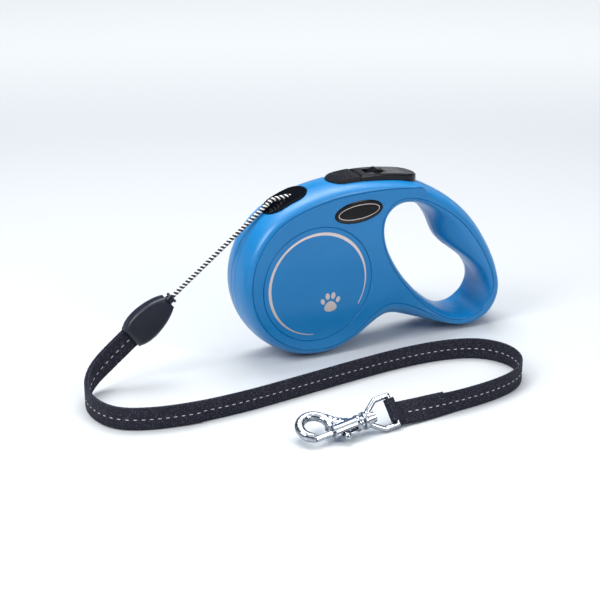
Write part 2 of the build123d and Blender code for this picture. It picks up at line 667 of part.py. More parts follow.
def strap():
    """Woven strap on edge: its plan, cut to the height of each stretch, and its end loop."""
    wall = Pos(0, 0, STRAP_BASE) * extrude(trace(strap_path(), STRAP_THICKNESS), amount=60)
    direction = cord_direction()
    side = Vector(-direction.Z, 0, direction.X)
    end = connector_plane(COLLAR_LENGTH + CONNECTOR_LENGTH - STRAP_IN_CONNECTOR).origin
    half = STRAP_WIDTH / 2
    top, bottom = STRAP_BASE + STRAP_WIDTH, STRAP_BASE
    low, high = (end + side * half, end - side * half)
    if low.Z > high.Z:
        low, high = high, low
    down = direction.Z / direction.X
    low_x = low.X + (bottom - low.Z) / down
    high_x = high.X + (top - high.Z) / down
    rising = make_face(Polyline([(low.X, low.Z), (low_x, bottom), (high_x, bottom), (high_x, top),
                                 (high.X, high.Z)], close=True))
    rising = across(rising, -20, 20)
    lying = Pos(0, 0, (top + bottom) / 2) * Box(400, 400, STRAP_WIDTH)
    lying = lying - Pos(high_x + 60, 0, 0) * Box(120, 30, 200)
    strip = largest(wall & (rising + lying))
    return largest(strip - eye_plane() * Cylinder(5.5, 60) + strap_loop())


# Bolt snap

def snap_direction():
    """Unit direction of the barrel and the bolt, from the eye's bar to the gate of the loop."""
    return (Vector(*GATE_CENTRE) - Vector(*BAR_CENTRE)).normalized()


def eye_plane():
    """Plane with x towards the hook and z along the eye's bar."""
    lean = Vector(0, sin(radians(EYE_LEAN)), cos(radians(EYE_LEAN)))
    x = snap_direction()
    z = (lean - x * lean.dot(x)).normalized()
    return Plane(origin=Vector(*BAR_CENTRE), x_dir=x, z_dir=z)


def hook_plane():
    """Plane with x towards the tip and z square to the loop, rolled about the barrel."""
    roll = Vector(0, -sin(radians(HOOK_ROLL)), cos(radians(HOOK_ROLL)))
    x = snap_direction()
    z = (roll - x * roll.dot(x)).normalized()
    return Plane(origin=Vector(*BAR_CENTRE), x_dir=x, z_dir=z)


def strap_loop():
    """The strap's end folded round the bar and sewn back on itself."""
    inner = EYE_WIRE + MOVING_GAP
    outer = inner + STRAP_THICKNESS * 0.6
    profile = Circle(outer) + Pos(-6.5, 0) * Rectangle(13, 2 * outer * 0.62)
    profile = profile - Circle(inner)
    height = min(STRAP_WIDTH, EYE_BAR_LENGTH - 1.0)
    return eye_plane() * Pos(0, 0, -height / 2) * extrude(profile, amount=height)


def swivel_eye():
    """D-shaped eye: the strap's bar, two arms and the boss that turns on the rivet."""
    half = EYE_BAR_LENGTH / 2 + EYE_WIRE
    points = [(0, 0, half), (EYE_DEPTH * 0.55, 0, half), (EYE_DEPTH, 0, 3.2), (EYE_DEPTH, 0, -3.2),
              (EYE_DEPTH * 0.55, 0, -half), (0, 0, -half)]
    path = FilletPolyline(points, radius=[3.0, 1.8, 1.8, 3.0], close=False)
    arms = tube(path, EYE_WIRE)
    bar = Pos(0, 0, -half) * Cylinder(EYE_WIRE, 2 * half, align=(Align.CENTER, Align.CENTER, Align.MIN))
    ends = Pos(0, 0, half) * Sphere(EYE_WIRE) + Pos(0, 0, -half) * Sphere(EYE_WIRE)
    boss_ = Pos(EYE_DEPTH, 0, 0) * Rot(0, 90, 0) * Cylinder(RIVET_RADIUS + EYE_BOSS_WALL, EYE_BOSS)
    bore = Pos(EYE_DEPTH, 0, 0) * Rot(0, 90, 0) * Cylinder(RIVET_RADIUS + RUNNING_FIT, 2 * EYE_BOSS)
    return largest(eye_plane() * (arms + bar + ends + boss_ - bore))


def swivel_rivet():
    """Rivet that holds the hook on the eye, its domed head inside the eye."""
    head_x = EYE_DEPTH - EYE_BOSS / 2 - MOVING_GAP - RIVET_HEAD
    head = along_hook(head_x, head_x + RIVET_HEAD, RIVET_RADIUS + HEAD_RIM)
    return hook_plane() * (head + along_hook(head_x, rivet_end(), RIVET_RADIUS))


def barrel_start():
    return EYE_DEPTH + EYE_BOSS / 2 + MOVING_GAP


def rivet_end():
    return barrel_start() + RIVET_IN_HOOK


def loop_x():
    """Distance along the barrel from the eye's bar to the middle of the loop's gate."""
    return (Vector(*GATE_CENTRE) - Vector(*BAR_CENTRE)).length


def along_hook(x_from, x_to, radius):
    body = Pos(x_from, 0, 0) * Rot(0, 90, 0)
    return body * Cylinder(radius, x_to - x_from, align=(Align.CENTER, Align.CENTER, Align.MIN))


def hook_body():
    """Cast hook: collar, barrel with a bore for the bolt, and the open loop beside its axis."""
    start = barrel_start()
    mouth = loop_x() - GATE_REACH[0]
    loop = Pos(loop_x(), -LOOP_RADIUS, 0) * Torus(LOOP_RADIUS, LOOP_WIRE)
    gate = Pos(loop_x() + (GATE_REACH[1] - GATE_REACH[0]) / 2, 0, 0)
    gate = gate * Box(sum(GATE_REACH), 2 * BARREL_RADIUS, 3 * LOOP_WIRE)
    body = loop - gate
    place = start
    for length, proud in NECK_STEPS:
        body = body + along_hook(place, place + length, BARREL_RADIUS + proud)
        place = place + length
    body = body + along_hook(place, mouth, BARREL_RADIUS)
    bore = along_hook(bolt_rear() - BOLT_TRAVEL - SPRING_ROOM, mouth + 1, BOLT_RADIUS + RUNNING_FIT)
    stem = 2 * (STEM_RADIUS + MOVING_GAP)
    window = Pos(knob_x() - BOLT_TRAVEL / 2, BARREL_RADIUS, 0)
    window = window * Box(BOLT_TRAVEL + stem, 2 * BARREL_RADIUS, stem)
    socket = along_hook(start - 1, rivet_end(), RIVET_RADIUS)
    return largest(hook_plane() * (body - bore - window - socket))


def bolt_rear():
    return loop_x() - BOLT_LENGTH


def knob_x():
    return loop_x() - KNOB_PLACE


def hook_bolt():
    """Sprung bolt that shuts the loop, with its thumb knob."""
    rod_ = along_hook(bolt_rear(), loop_x() + GATE_REACH[1] - MOVING_GAP, BOLT_RADIUS)
    stem = Pos(knob_x(), 0, 0) * Rot(-90, 0, 0)
    stem = stem * Cylinder(STEM_RADIUS, STEM_HEIGHT, align=(Align.CENTER, Align.CENTER, Align.MIN))
    knob = Pos(knob_x(), KNOB_REACH, 0) * Sphere(KNOB_RADIUS)
    return largest(hook_plane() * (rod_ + stem + knob))


def bolt_spring():
    length = BOLT_TRAVEL + 1.0
    spring = coil_spring((0, 0), 0, length, BOLT_SPRING_RADIUS, BOLT_SPRING_WIRE, BOLT_SPRING_TURNS)
    return hook_plane() * Pos(bolt_rear() - length, 0, 0) * Rot(0, 90, 0) * spring


def leash_cord():
    return straight_tube(OUTLET_LIP, COLLAR_TOP, CORD_RADIUS)


def cord_lead():
    return tube(lead_path(), CORD_RADIUS)


def build():
    """Every node by name, with the reel's axis at x = 0."""
    left, right = housing_shells()
    nodes = {
        "housing_left": left,
        "housing_right": right,
        "disc_left": disc(-1),
        "disc_right": disc(1),
        "badge_left": badge(-1),
        "badge_right": badge(1),
        "housing_screws": screws(SCREW_PLACES, SCREW_HEAD_RADIUS, SCREW_SHANK_RADIUS,
                                 SCREW_TIP_Y, SCREW_SEAT_Y, SCREW_HEAD_Y),
        "outlet_bush": outlet_bush(),
        "button_frame": button_frame(),
        "brake_button": brake_button(),
        "lock_slider": lock_slider(),
        "button_spring": button_spring(),
        "brake_pawl": brake_pawl(),
        "pawl_pin": rod(PAWL_PIVOT, PAWL_PIN_RADIUS, -PIN_END, PIN_END),
        "reel": reel(),
        "reel_cover": reel_cover(),
        "power_spring": power_spring(),
        "axle": rod(REEL_CENTRE, AXLE_RADIUS, -AXLE_END, AXLE_END),
        "cord_winding": cord_winding(),
        "cord_lead": cord_lead(),
        "leash_cord": leash_cord(),
        "cord_collar": cord_collar(),
        "connector": connector(),
        "strap": strap(),
        "swivel_eye": swivel_eye(),
        "swivel_rivet": swivel_rivet(),
        "hook_body": hook_body(),
        "hook_bolt": hook_bolt(),
        "bolt_spring": bolt_spring(),
    }
    return nodes


def main():
    os.makedirs("parts", exist_ok=True)
    nodes = build()
    box = nodes["housing_left"].bounding_box()
    shift = Pos(-box.center().X, 0, -box.min.Z)
    for name, shape in nodes.items():
        export_step(shift * shape, f"parts/{name}.step")
    print(f"reel axis at x = {-box.center().X:.3f}, moved up by {-box.min.Z:.3f}")
    print(f"retract travel {RETRACT_TRAVEL:.3f}, pawl angle {PAWL_ANGLE:.3f}")
    flat = [(x, y, 0) for x, y, z in STRAP_ROUTE]
    print("strap radii", [round(r, 1) for r in corner_radii(flat)])
    print("strap length", round(strap_path().length, 1))
    print("lead radii", [round(r, 1) for r in corner_radii(lead_route())])
    print("lead and free cord", round(lead_path().length, 1), round(free_cord_length(), 1))


main()
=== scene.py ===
"""Retractable leash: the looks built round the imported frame.

Metres, +Z up. The places below are first given in millimetres from the reel's axis, as a designer
would read them off the drawing, and mm() turns them into the frame.
"""
import json
from math import atan2, cos, degrees, pi, radians, sin

import bmesh
import bpy
import numpy as np
from mathutils import Matrix, Vector, noise


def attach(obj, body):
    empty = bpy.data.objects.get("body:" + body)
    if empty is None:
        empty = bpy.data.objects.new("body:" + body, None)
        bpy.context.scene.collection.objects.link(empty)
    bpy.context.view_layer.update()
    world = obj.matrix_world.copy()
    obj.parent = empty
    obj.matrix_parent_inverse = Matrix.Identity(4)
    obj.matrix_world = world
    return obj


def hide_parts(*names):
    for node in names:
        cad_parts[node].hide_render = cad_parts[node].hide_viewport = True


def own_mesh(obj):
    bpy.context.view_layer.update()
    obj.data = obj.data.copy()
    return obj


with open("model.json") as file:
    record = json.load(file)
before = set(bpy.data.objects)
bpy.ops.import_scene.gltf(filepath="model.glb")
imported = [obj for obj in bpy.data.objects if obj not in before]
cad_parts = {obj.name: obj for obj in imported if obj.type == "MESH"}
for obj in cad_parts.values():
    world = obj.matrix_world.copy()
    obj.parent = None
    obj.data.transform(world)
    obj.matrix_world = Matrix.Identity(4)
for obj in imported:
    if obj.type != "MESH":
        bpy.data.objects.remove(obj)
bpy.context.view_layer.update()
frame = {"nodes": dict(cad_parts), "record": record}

# Frame of the drawing
MM = 0.001
REEL_X = -38.302
LIFT = 0.022

# Housing
HALF_THICKNESS = 15.0
SEAM_Y = 2.4
SEAM_GROOVE = 0.28
WALL = 2.2
DRUM_CENTRE = (2.8, 47.4)
DRUM_RADIUS = 47.4
DRUM_ARC = (124.0, 300.0)
DRUM_ARC_POINTS = 10
OUTLINE_POINTS = [
    (36.5, 11.6), (46.0, 15.2), (58.0, 12.9), (76.0, 6.4), (90.0, 1.8), (101.0, 0.4), (111.5, 3.6),
    (118.8, 11.5), (121.2, 23.0), (118.8, 36.0), (110.4, 54.0), (97.0, 71.6), (79.5, 85.0),
    (60.0, 93.9), (40.0, 97.5), (22.0, 98.7), (5.0, 97.2), (-9.0, 93.5),
]
OUTLINE_COUNT = 360
# Rounded rim: place along the outline's points, width of the rounding, depth of the crease beside it
RIM = [
    (0, 5.0, 1), (10, 5.2, 1), (11, 7.5, 1), (12, 9.6, 1), (13, 8.0, 1), (14, 4.4, 0.8), (15, 3.4, 0),
    (16, 4.5, 0), (17, 5.5, 0), (18, 5.6, 0), (19, 5.0, 0), (20, 6.0, 0), (21, 6.6, 0), (22, 6.6, 0),
    (23, 6.0, 0), (23.5, 4.6, 0), (23.72, 1.6, 0.5), (23.8, 0.9, 0.9), (24.1, 2.5, 1), (25, 4.0, 1),
    (26, 5.6, 1),
    (27, 5.8, 1), (29, 5.0, 1),
]
CREASE_WIDTH = 0.5
CREASE_DEPTH = 0.45
HOLE_FACE = [
    (39.9, 68.5), (41.5, 78.2), (48.7, 85.0), (59.5, 85.5), (72.5, 80.3), (88.0, 69.3), (101.0, 54.5),
    (110.0, 38.6), (113.9, 25.0), (111.2, 15.8), (103.8, 8.9), (92.0, 7.0), (80.0, 11.4), (66.5, 22.0),
    (53.8, 36.4), (43.8, 53.0),
]
HOLE_THROAT = [
    (43.6, 67.5), (45.2, 75.0), (50.5, 79.6), (58.5, 81.0), (67.8, 77.8), (75.6, 69.5), (80.5, 58.0),
    (94.0, 45.0), (108.0, 31.0), (111.6, 20.5), (106.6, 10.6), (95.0, 9.0), (82.0, 14.4), (69.5, 24.2),
    (57.2, 37.8), (47.8, 53.3),
]
HOLE_COUNT = 240

# Face plates and badges
REEL_Z = 44.5
DISC_RADIUS = 33.0
DISC_THICKNESS = 1.0
PLATE_CHAMFER = 0.32
BADGE_CENTRE = (24.6, 83.0)
BADGE_SIZE = (29.5, 12.4)
BADGE_TILT = 4.0
BADGE_SUNK = 1.0
BADGE_PROUD = 0.4

# Metallic foil on the face plates
FOIL_RADIUS = 29.2
FOIL_THICKNESS = 0.06
FOIL_SPAN = (-95.0, -392.0)
FOIL_WIDTH = (0.35, 2.1)
PAW_CENTRE = (7.5, 32.5)
PAW_SIZE = 6.0

# Trim openings in the rim
BUSH_MIDDLE = (-13.5, 90.9)
BUSH_SIZE = (27.0, 16.8)
BUSH_SLOPE = 23.0
BUTTON_PLAN = (12.0, 67.0, 16.0)
OPENING_GAP = 0.3
SCREW_PLACES = [(-9.0, 83.6), (41.2, 42.5), (60.5, 19.3), (86.0, 77.2)]
SCREW_WELL_RADIUS = 2.3

# Cord and strap
CORD_DIAMETER = 2.5
OUTLET_LIP = (-23.8, 0.0, 89.6)
COLLAR_TOP = (-79.8, 0.0, 46.0)
CORD_STRANDS = 8
STRAP_WIDTH = 12.0
STRAP_LAYER = 1.25
STRAP_ROUTE = [
    (-98.0, 0.0, 31.5), (-113.0, 0.0, 20.1), (-127.0, -2.5, 9.6), (-134.5, -14.0, 6.2),
    (-137.0, -31.0, 6.2), (-131.0, -48.0, 6.2), (-115.0, -56.0, 6.2), (-92.0, -59.5, 6.2),
    (-64.0, -58.8, 6.2), (-32.0, -54.5, 6.2), (2.0, -49.5, 6.2), (36.0, -45.6, 6.2),
    (64.0, -46.5, 6.2), (83.0, -53.5, 6.2), (92.0, -68.0, 6.2), (90.0, -84.0, 6.2),
    (79.0, -96.5, 6.2), (60.0, -103.0, 6.2), (34.0, -105.8, 6.2), (12.0, -106.4, 6.2),
    (-2.5, -105.2, 6.2),
]
BAR_CENTRE = (-2.5, -105.0, 8.9)
BAR_DIRECTION = (-0.138751, 0.565807, 0.812779)
TWIST_LENGTH = 42.0

# Bolt snap
GATE_CENTRE = (-44.0, -109.0, 4.6)
HOOK_ROLL = 18.0
LOOP_RADIUS = 7.6
LOOP_WIRE = 2.65
EYE_GROWTH = 0.22
LOOP_SPAN = (34.0, 308.0)
# Web between the loop and the barrel: back from the gate, towards the loop, radius
WEB = [
    (8.2, 10.4, 2.3), (9.6, 8.2, 2.4), (9.2, 6.0, 2.5), (11.2, 6.2, 2.5), (11.0, 4.0, 2.8), (13.2, 4.4, 2.6),
    (13.4, 2.6, 3.0), (15.6, 3.0, 2.6), (16.0, 1.6, 3.0), (18.2, 1.6, 2.7), (20.6, 0.9, 3.0),
]
SEWN_BACK_REAR = 128.0
SEWN_BACK_FRONT = 30.0
STITCH_LENGTH = 2.0
STITCH_PITCH = 4.0

# Camera
VIEW_AIM = (-3.94, 0.0, 30.64)
VIEW_DISTANCE = 850.0
VIEW_AZIMUTH = -25.75
VIEW_ELEVATION = 22.21
LENS = 91.25


def mm(x, y, z):
    """A place on the drawing, in millimetres from the reel's axis, as a point of the frame."""
    return Vector(((x + REEL_X) * MM, y * MM, (z + LIFT) * MM))


# Camera and light

def add_camera():
    azimuth, elevation = radians(VIEW_AZIMUTH), radians(VIEW_ELEVATION)
    aim = mm(*VIEW_AIM)
    back = Vector((sin(azimuth) * cos(elevation), -cos(azimuth) * cos(elevation), sin(elevation)))
    data = bpy.data.cameras.new("camera")
    data.lens = LENS
    data.sensor_width = 36.0
    data.clip_start = 0.01
    camera = bpy.data.objects.new("camera", data)
    bpy.context.scene.collection.objects.link(camera)
    camera.location = aim + back * VIEW_DISTANCE * MM
    camera.rotation_euler = (-back).to_track_quat("-Z", "Y").to_euler()
    bpy.context.scene.camera = camera


def add_softbox(name, place, aim, size, power):
    data = bpy.data.lights.new(name, "AREA")
    data.shape = "RECTANGLE"
    data.size, data.size_y = size
    data.energy = power
    light = bpy.data.objects.new(name, data)
    bpy.context.scene.collection.objects.link(light)
    light.location = place
    light.rotation_euler = (Vector(aim) - Vector(place)).to_track_quat("-Z", "Y").to_euler()


def add_studio():
    """White surroundings, three softboxes and a glossy white table."""
    bpy.context.scene.view_settings.view_transform = "Standard"
    Surroundings()
    add_softbox("key_left", (-0.9, -0.2, 0.75), (-0.04, 0, 0.05), (0.4, 0.6), 8.5)
    add_softbox("top", (0.05, 0.3, 1.1), (0, -0.03, 0), (0.9, 0.5), 11.0)
    add_softbox("front_right", (0.55, -1.15, 0.75), (0.02, 0, 0.04), (0.3, 0.5), 6.5)
    table = bmesh.new()
    bmesh.ops.create_circle(table, cap_ends=True, radius=6.0, segments=64)
    paint = Paint("table")
    paint.surface(colour=(0.60, 0.62, 0.64), roughness=0.06, Specular_IOR_Level=0.8)
    piece = make_piece("table", table, paint.material, None)


# Materials

class Wire:
    """An output of a material's node, for use in plain arithmetic."""

    def __init__(self, paint, socket):
        self.paint, self.socket = paint, socket

    def _with(self, operation, first, second):
        return self.paint.node("ShaderNodeMath", {"operation": operation}, {0: first, 1: second})

    def __add__(self, other):
        return self._with("ADD", self, other)

    def __sub__(self, other):
        return self._with("SUBTRACT", self, other)

    def __rsub__(self, other):
        return self._with("SUBTRACT", other, self)

    def __mul__(self, other):
        return self._with("MULTIPLY", self, other)

    def __truediv__(self, other):
        return self._with("DIVIDE", self, other)

    def __gt__(self, other):
        return self._with("GREATER_THAN", self, other)

    def __lt__(self, other):
        return self._with("LESS_THAN", self, other)

    def wave(self):
        return self._with("SINE", self, 0.0)

    def part(self):
        """What is left above the whole number."""
        return self._with("FRACT", self, 0.0)

    def size(self):
        return self._with("ABSOLUTE", self, 0.0)

    __radd__ = __add__
    __rmul__ = __mul__


class Paint:
    """A material under construction: one shader and whatever feeds it."""

    def __init__(self, name):
        self.material = bpy.data.materials.new(name)
        self.material.use_nodes = True
        self.tree = self.material.node_tree
        self.shader = self.tree.nodes["Principled BSDF"]

    def feed(self, socket, value):
        if isinstance(value, Wire):
            self.tree.links.new(value.socket, socket)
        elif isinstance(value, (tuple, list)) and len(value) == 3 and socket.type == "RGBA":
            socket.default_value = (*value, 1.0)
        else:
            socket.default_value = value

    def node(self, kind, settings=None, inputs=None, output=0):
        node = self.tree.nodes.new(kind)
        for key, value in (settings or {}).items():
            if key == "stops":
                for element, (place, tone) in zip(node.color_ramp.elements, value):
                    element.position, element.color = place, (tone, tone, tone, 1)
            else:
                setattr(node, key, value)
        for key, value in (inputs or {}).items():
            self.feed(node.inputs[key], value)
        return Wire(self, node.outputs[output])

    def place(self):
        """Object coordinates."""
        return self.node("ShaderNodeTexCoord", output="Object")

    def along(self, name):
        """A length or an angle stored on the mesh."""
        return self.node("ShaderNodeAttribute", {"attribute_name": name}, output="Fac")

    def grain(self, scale, detail=2.0, vector=None, roughness=0.5):
        inputs = {"Vector": vector or self.place(), "Scale": scale, "Detail": detail, "Roughness": roughness}
        return self.node("ShaderNodeTexNoise", inputs=inputs, output="Fac")

    def ramp(self, value, low, high):
        settings = {"stops": [(low, 0.0), (high, 1.0)]}
        return self.node("ShaderNodeValToRGB", settings, {"Fac": value}, output="Color")

    def mix(self, share, first, second):
        inputs = {"Factor": share, "A": first, "B": second}
        node = self.tree.nodes.new("ShaderNodeMix")
        node.data_type = "RGBA"
        for socket in node.inputs:
            if socket.name == "Factor" and socket.type == "VALUE":
                self.feed(socket, inputs["Factor"])
            elif socket.type == "RGBA":
                self.feed(socket, inputs[socket.name])
        return Wire(self, [s for s in node.outputs if s.type == "RGBA"][0])

    def bump(self, height, distance, strength=1.0):
        inputs = {"Height": height, "Distance": distance, "Strength": strength}
        return self.node("ShaderNodeBump", inputs=inputs)

    def surface(self, colour, roughness, metallic=0.0, normal=None, **fixed):
        self.feed(self.shader.inputs["Base Color"], colour)
        self.feed(self.shader.inputs["Roughness"], roughness)
        self.feed(self.shader.inputs["Metallic"], metallic)
        if normal:
            self.feed(self.shader.inputs["Normal"], normal)
        for name, value in fixed.items():
            self.feed(self.shader.inputs[name.replace("_", " ")], value)
        return self.material


class Surroundings(Paint):
    """White room, darker towards its floor and with two dim corners for the metal to mirror."""

    def __init__(self):
        world = bpy.data.worlds.new("surroundings")
        world.use_nodes = True
        bpy.context.scene.world = world
        self.tree = world.node_tree
        background = self.tree.nodes["Background"]
        self.feed(background.inputs["Strength"], 1.0)
        direction = self.node("ShaderNodeTexCoord", output="Generated")
        height = self.node("ShaderNodeSeparateXYZ", inputs={0: direction}, output="Z")
        turn = self.node("ShaderNodeSeparateXYZ", inputs={0: direction}, output="X")
        bands = self.node("ShaderNodeMath", {"operation": "SINE"}, {0: turn * 7.0 + 0.6})
        corner = self.ramp(bands, 0.3, 0.6)
        low = self.mix(corner, (0.03, 0.04, 0.06), (0.9, 0.93, 0.97))
        middle = self.mix(self.ramp(height, 0.08, 0.12), low, (1.05, 1.07, 1.1))
        upper = self.mix(self.ramp(height, 0.22, 0.27), middle, (0.03, 0.05, 0.09))
        self.feed(background.inputs["Color"], self.mix(self.ramp(height, 0.62, 0.72), upper, (1.3, 1.34, 1.36)))


def moulded_plastic(name, colour, deeper, roughness, texture, shine=0.3):
    """Injection-moulded plastic: slow colour drift, a fine spark-eroded texture and handling marks."""
    paint = Paint(name)
    drift = paint.ramp(paint.grain(38.0, 3.0), 0.35, 0.65)
    tone = paint.mix(drift, colour, deeper)
    fine = paint.grain(5200.0, 2.0)
    rubbed = paint.ramp(paint.grain(90.0, 5.0, roughness=0.65), 0.42, 0.62)
    gloss = roughness + (rubbed - 0.5) * 0.07 + (fine - 0.5) * 0.05
    return paint.surface(tone, gloss, normal=paint.bump(fine, texture), Specular_IOR_Level=shine)


def polished_chrome():
    """Plated zinc: mirror bright, slightly wavy from the casting, with hairline wear."""
    paint = Paint("snap_chrome")
    swell = paint.grain(160.0, 2.0)
    hairlines = paint.ramp(paint.grain(1500.0, 6.0, roughness=0.7), 0.55, 0.7)
    gloss = 0.06 + hairlines * 0.1
    tone = paint.mix(hairlines, (0.36, 0.385, 0.43), (0.27, 0.29, 0.33))
    return paint.surface(tone, gloss, 1.0, paint.bump(swell, 0.00025))


def bare_steel(name, tone, roughness):
    paint = Paint(name)
    stretched = paint.node("ShaderNodeMapping", inputs={"Vector": paint.place(), "Scale": (1.0, 14.0, 1.0)})
    lines = paint.grain(900.0, 4.0, stretched)
    darker = tuple(0.72 * channel for channel in tone)
    return paint.surface(paint.mix(lines, tone, darker), roughness + lines * 0.15, 1.0, paint.bump(lines, 0.00002))


def hot_foil():
    """Rose-silver foil pressed into the plastic."""
    paint = Paint("foil")
    crumple = paint.grain(1800.0, 4.0)
    tone = paint.mix(crumple, (0.72, 0.62, 0.58), (0.60, 0.52, 0.50))
    return paint.surface(tone, 0.34 + crumple * 0.16, 0.7, paint.bump(crumple, 0.00002))


def braided_cord():
    """White braid with black tracer yarns; around and along are stored on the mesh."""
    paint = Paint("cord_weave")
    around, along = paint.along("around"), paint.along("along")
    black = (along * 455.0 + around * 0.8).part() < 0.64
    falling = (along * 910.0 - around * 2.0).part()
    thread = ((along * 2500.0 + around * 6.0) * (2 * pi)).wave() * 0.5 + 0.5
    fluff = paint.grain(2600.0, 3.0)
    tone = paint.mix(black, (0.86, 0.86, 0.87), (0.012, 0.012, 0.014))
    height = thread * 0.6 + fluff * 0.4 + falling * 0.2
    return paint.surface(tone, 0.72, normal=paint.bump(height, 0.00008), Sheen_Weight=0.2)


def wound_cord():
    """The same braid where it lies inside the housing, its flecks set by place."""
    paint = Paint("wound_cord")
    spot = paint.place()
    run = paint.node("ShaderNodeVectorMath", {"operation": "DOT_PRODUCT"}, {0: spot, 1: (359.0, 190.0, 280.0)},
                     output="Value")
    fluff = paint.grain(2600.0, 3.0)
    tone = paint.mix(run.part() < 0.64, (0.86, 0.86, 0.87), (0.012, 0.012, 0.014))
    return paint.surface(tone, 0.72, normal=paint.bump(fluff, 0.00006))


def woven_strap():
    """Flat webbing: warp cords along, weft across, with pale flecks."""
    paint = Paint("strap_weave")
    along, across = paint.along("along"), paint.along("across")
    warp = (across * (2 * pi * 1150.0)).wave()
    weft = (along * (2 * pi * 900.0)).wave()
    weave = warp * weft * 0.5 + 0.5
    fluff = paint.grain(3000.0, 3.0)
    flecks = paint.ramp(paint.grain(1700.0, 3.0, roughness=0.7), 0.54, 0.66)
    yarn = paint.mix(weave, (0.003, 0.003, 0.007), (0.020, 0.021, 0.034))
    tone = paint.mix(flecks * 0.6, yarn, (0.12, 0.12, 0.16))
    height = weave * 0.8 + fluff * 0.3
    return paint.surface(tone, 0.7, normal=paint.bump(height, 0.00012), Specular_IOR_Level=0.12)


def thread():
    paint = Paint("stitch_thread")
    twist = paint.grain(2200.0, 2.0)
    return paint.surface(paint.mix(twist, (0.62, 0.63, 0.67), (0.34, 0.35, 0.4)), 0.45,
                         normal=paint.bump(twist, 0.00005))


def make_materials():
    blue, deep_blue = (0.003, 0.172, 0.435), (0.003, 0.160, 0.41)
    return {
        "housing_plastic": moulded_plastic("housing_plastic", blue, deep_blue, 0.34, 0.000012, 0.45),
        "dark_trim": moulded_plastic("dark_trim", (0.002, 0.002, 0.003), (0.003, 0.003, 0.004), 0.12, 0.000004,
                                     0.22),
        "button_black": moulded_plastic("button_black", (0.004, 0.004, 0.006), (0.006, 0.006, 0.008), 0.2,
                                        0.000006, 0.28),
        "plate_grey": moulded_plastic("plate_grey", (0.008, 0.008, 0.010), (0.006, 0.006, 0.008), 0.26, 0.00001,
                                      0.3),
        "inner_plastic": moulded_plastic("inner_plastic", (0.7, 0.7, 0.67), (0.62, 0.62, 0.6), 0.45, 0.00001),
        "connector_plastic": moulded_plastic("connector_plastic", (0.003, 0.004, 0.014), (0.006, 0.007, 0.018),
                                             0.34, 0.00002, 0.4),
        "spring_steel": bare_steel("spring_steel", (0.5, 0.51, 0.53), 0.28),
        "screw_steel": bare_steel("screw_steel", (0.62, 0.62, 0.6), 0.25),
        "snap_chrome": polished_chrome(),
        "foil": hot_foil(),
        "cord_weave": braided_cord(),
        "wound_cord": wound_cord(),
        "strap_weave": woven_strap(),
        "stitch_thread": thread(),
    }


# Mesh helpers

def make_piece(name, bm, material, body, sharp=28.0):
    """A finished piece from a bmesh, shaded smooth but for its edges."""
    data = bpy.data.meshes.new(name)
    bm.to_mesh(data)
    bm.free()
    data.shade_smooth()
    data.set_sharp_from_angle(angle=radians(sharp))
    data.materials.append(material)
    piece = bpy.data.objects.new(name, data)
    bpy.context.scene.collection.objects.link(piece)
    if body:
        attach(piece, body)
    return piece


def start_ring(bm, points):
    """A closed ring of edges through points."""
    verts = [bm.verts.new(p) for p in points]
    return [bm.edges.new((a, b)) for a, b in zip(verts, verts[1:] + verts[:1])]


def next_ring(bm, ring, points):
    """The ring extruded, with its new vertices moved to points in the same order."""
    order = ring_verts(ring)
    result = bmesh.ops.extrude_edge_only(bm, edges=ring)
    new_edges = [g for g in result["geom"] if isinstance(g, bmesh.types.BMEdge)]
    new_edges = {frozenset(e.verts): e for e in new_edges}
    twins = {}
    new_verts = {v for g in result["geom"] if isinstance(g, bmesh.types.BMVert) for v in (g,)}
    for vert in order:
        twins[vert] = next(e.other_vert(vert) for e in vert.link_edges if e.other_vert(vert) in new_verts)
    for vert, point in zip(order, points):
        twins[vert].co = point
    moved = [twins[v] for v in order]
    return [new_edges[frozenset((a, b))] for a, b in zip(moved, moved[1:] + moved[:1])]


def ring_verts(ring):
    """The vertices of a ring, in its order."""
    count = len(ring)
    return [next(v for v in ring[i].verts if v in ring[i - 1].verts) for i in range(count)]


def fill(bm, rings, normal):
    """A flat face bounded by rings, with the inner ones left open."""
    edges = [edge for ring in rings for edge in ring]
    return bmesh.ops.triangle_fill(bm, edges=edges, use_beauty=True, normal=normal)


def baked(piece):
    """Applies the modifiers of a piece to its mesh."""
    bpy.context.view_layer.update()
    evaluated = piece.evaluated_get(bpy.context.evaluated_depsgraph_get())
    data = bpy.data.meshes.new_from_object(evaluated)
    old = piece.data
    piece.modifiers.clear()
    piece.data = data
    bpy.data.meshes.remove(old)


def cut(piece, cutters):
    """Subtracts closed tools from a piece, then drops them."""
    for tool in cutters:
        modifier = piece.modifiers.new("cut", "BOOLEAN")
        modifier.operation, modifier.solver, modifier.object = "DIFFERENCE", "EXACT", tool
    baked(piece)
    for tool in cutters:
        bpy.data.objects.remove(tool)


# Smooth closed outlines

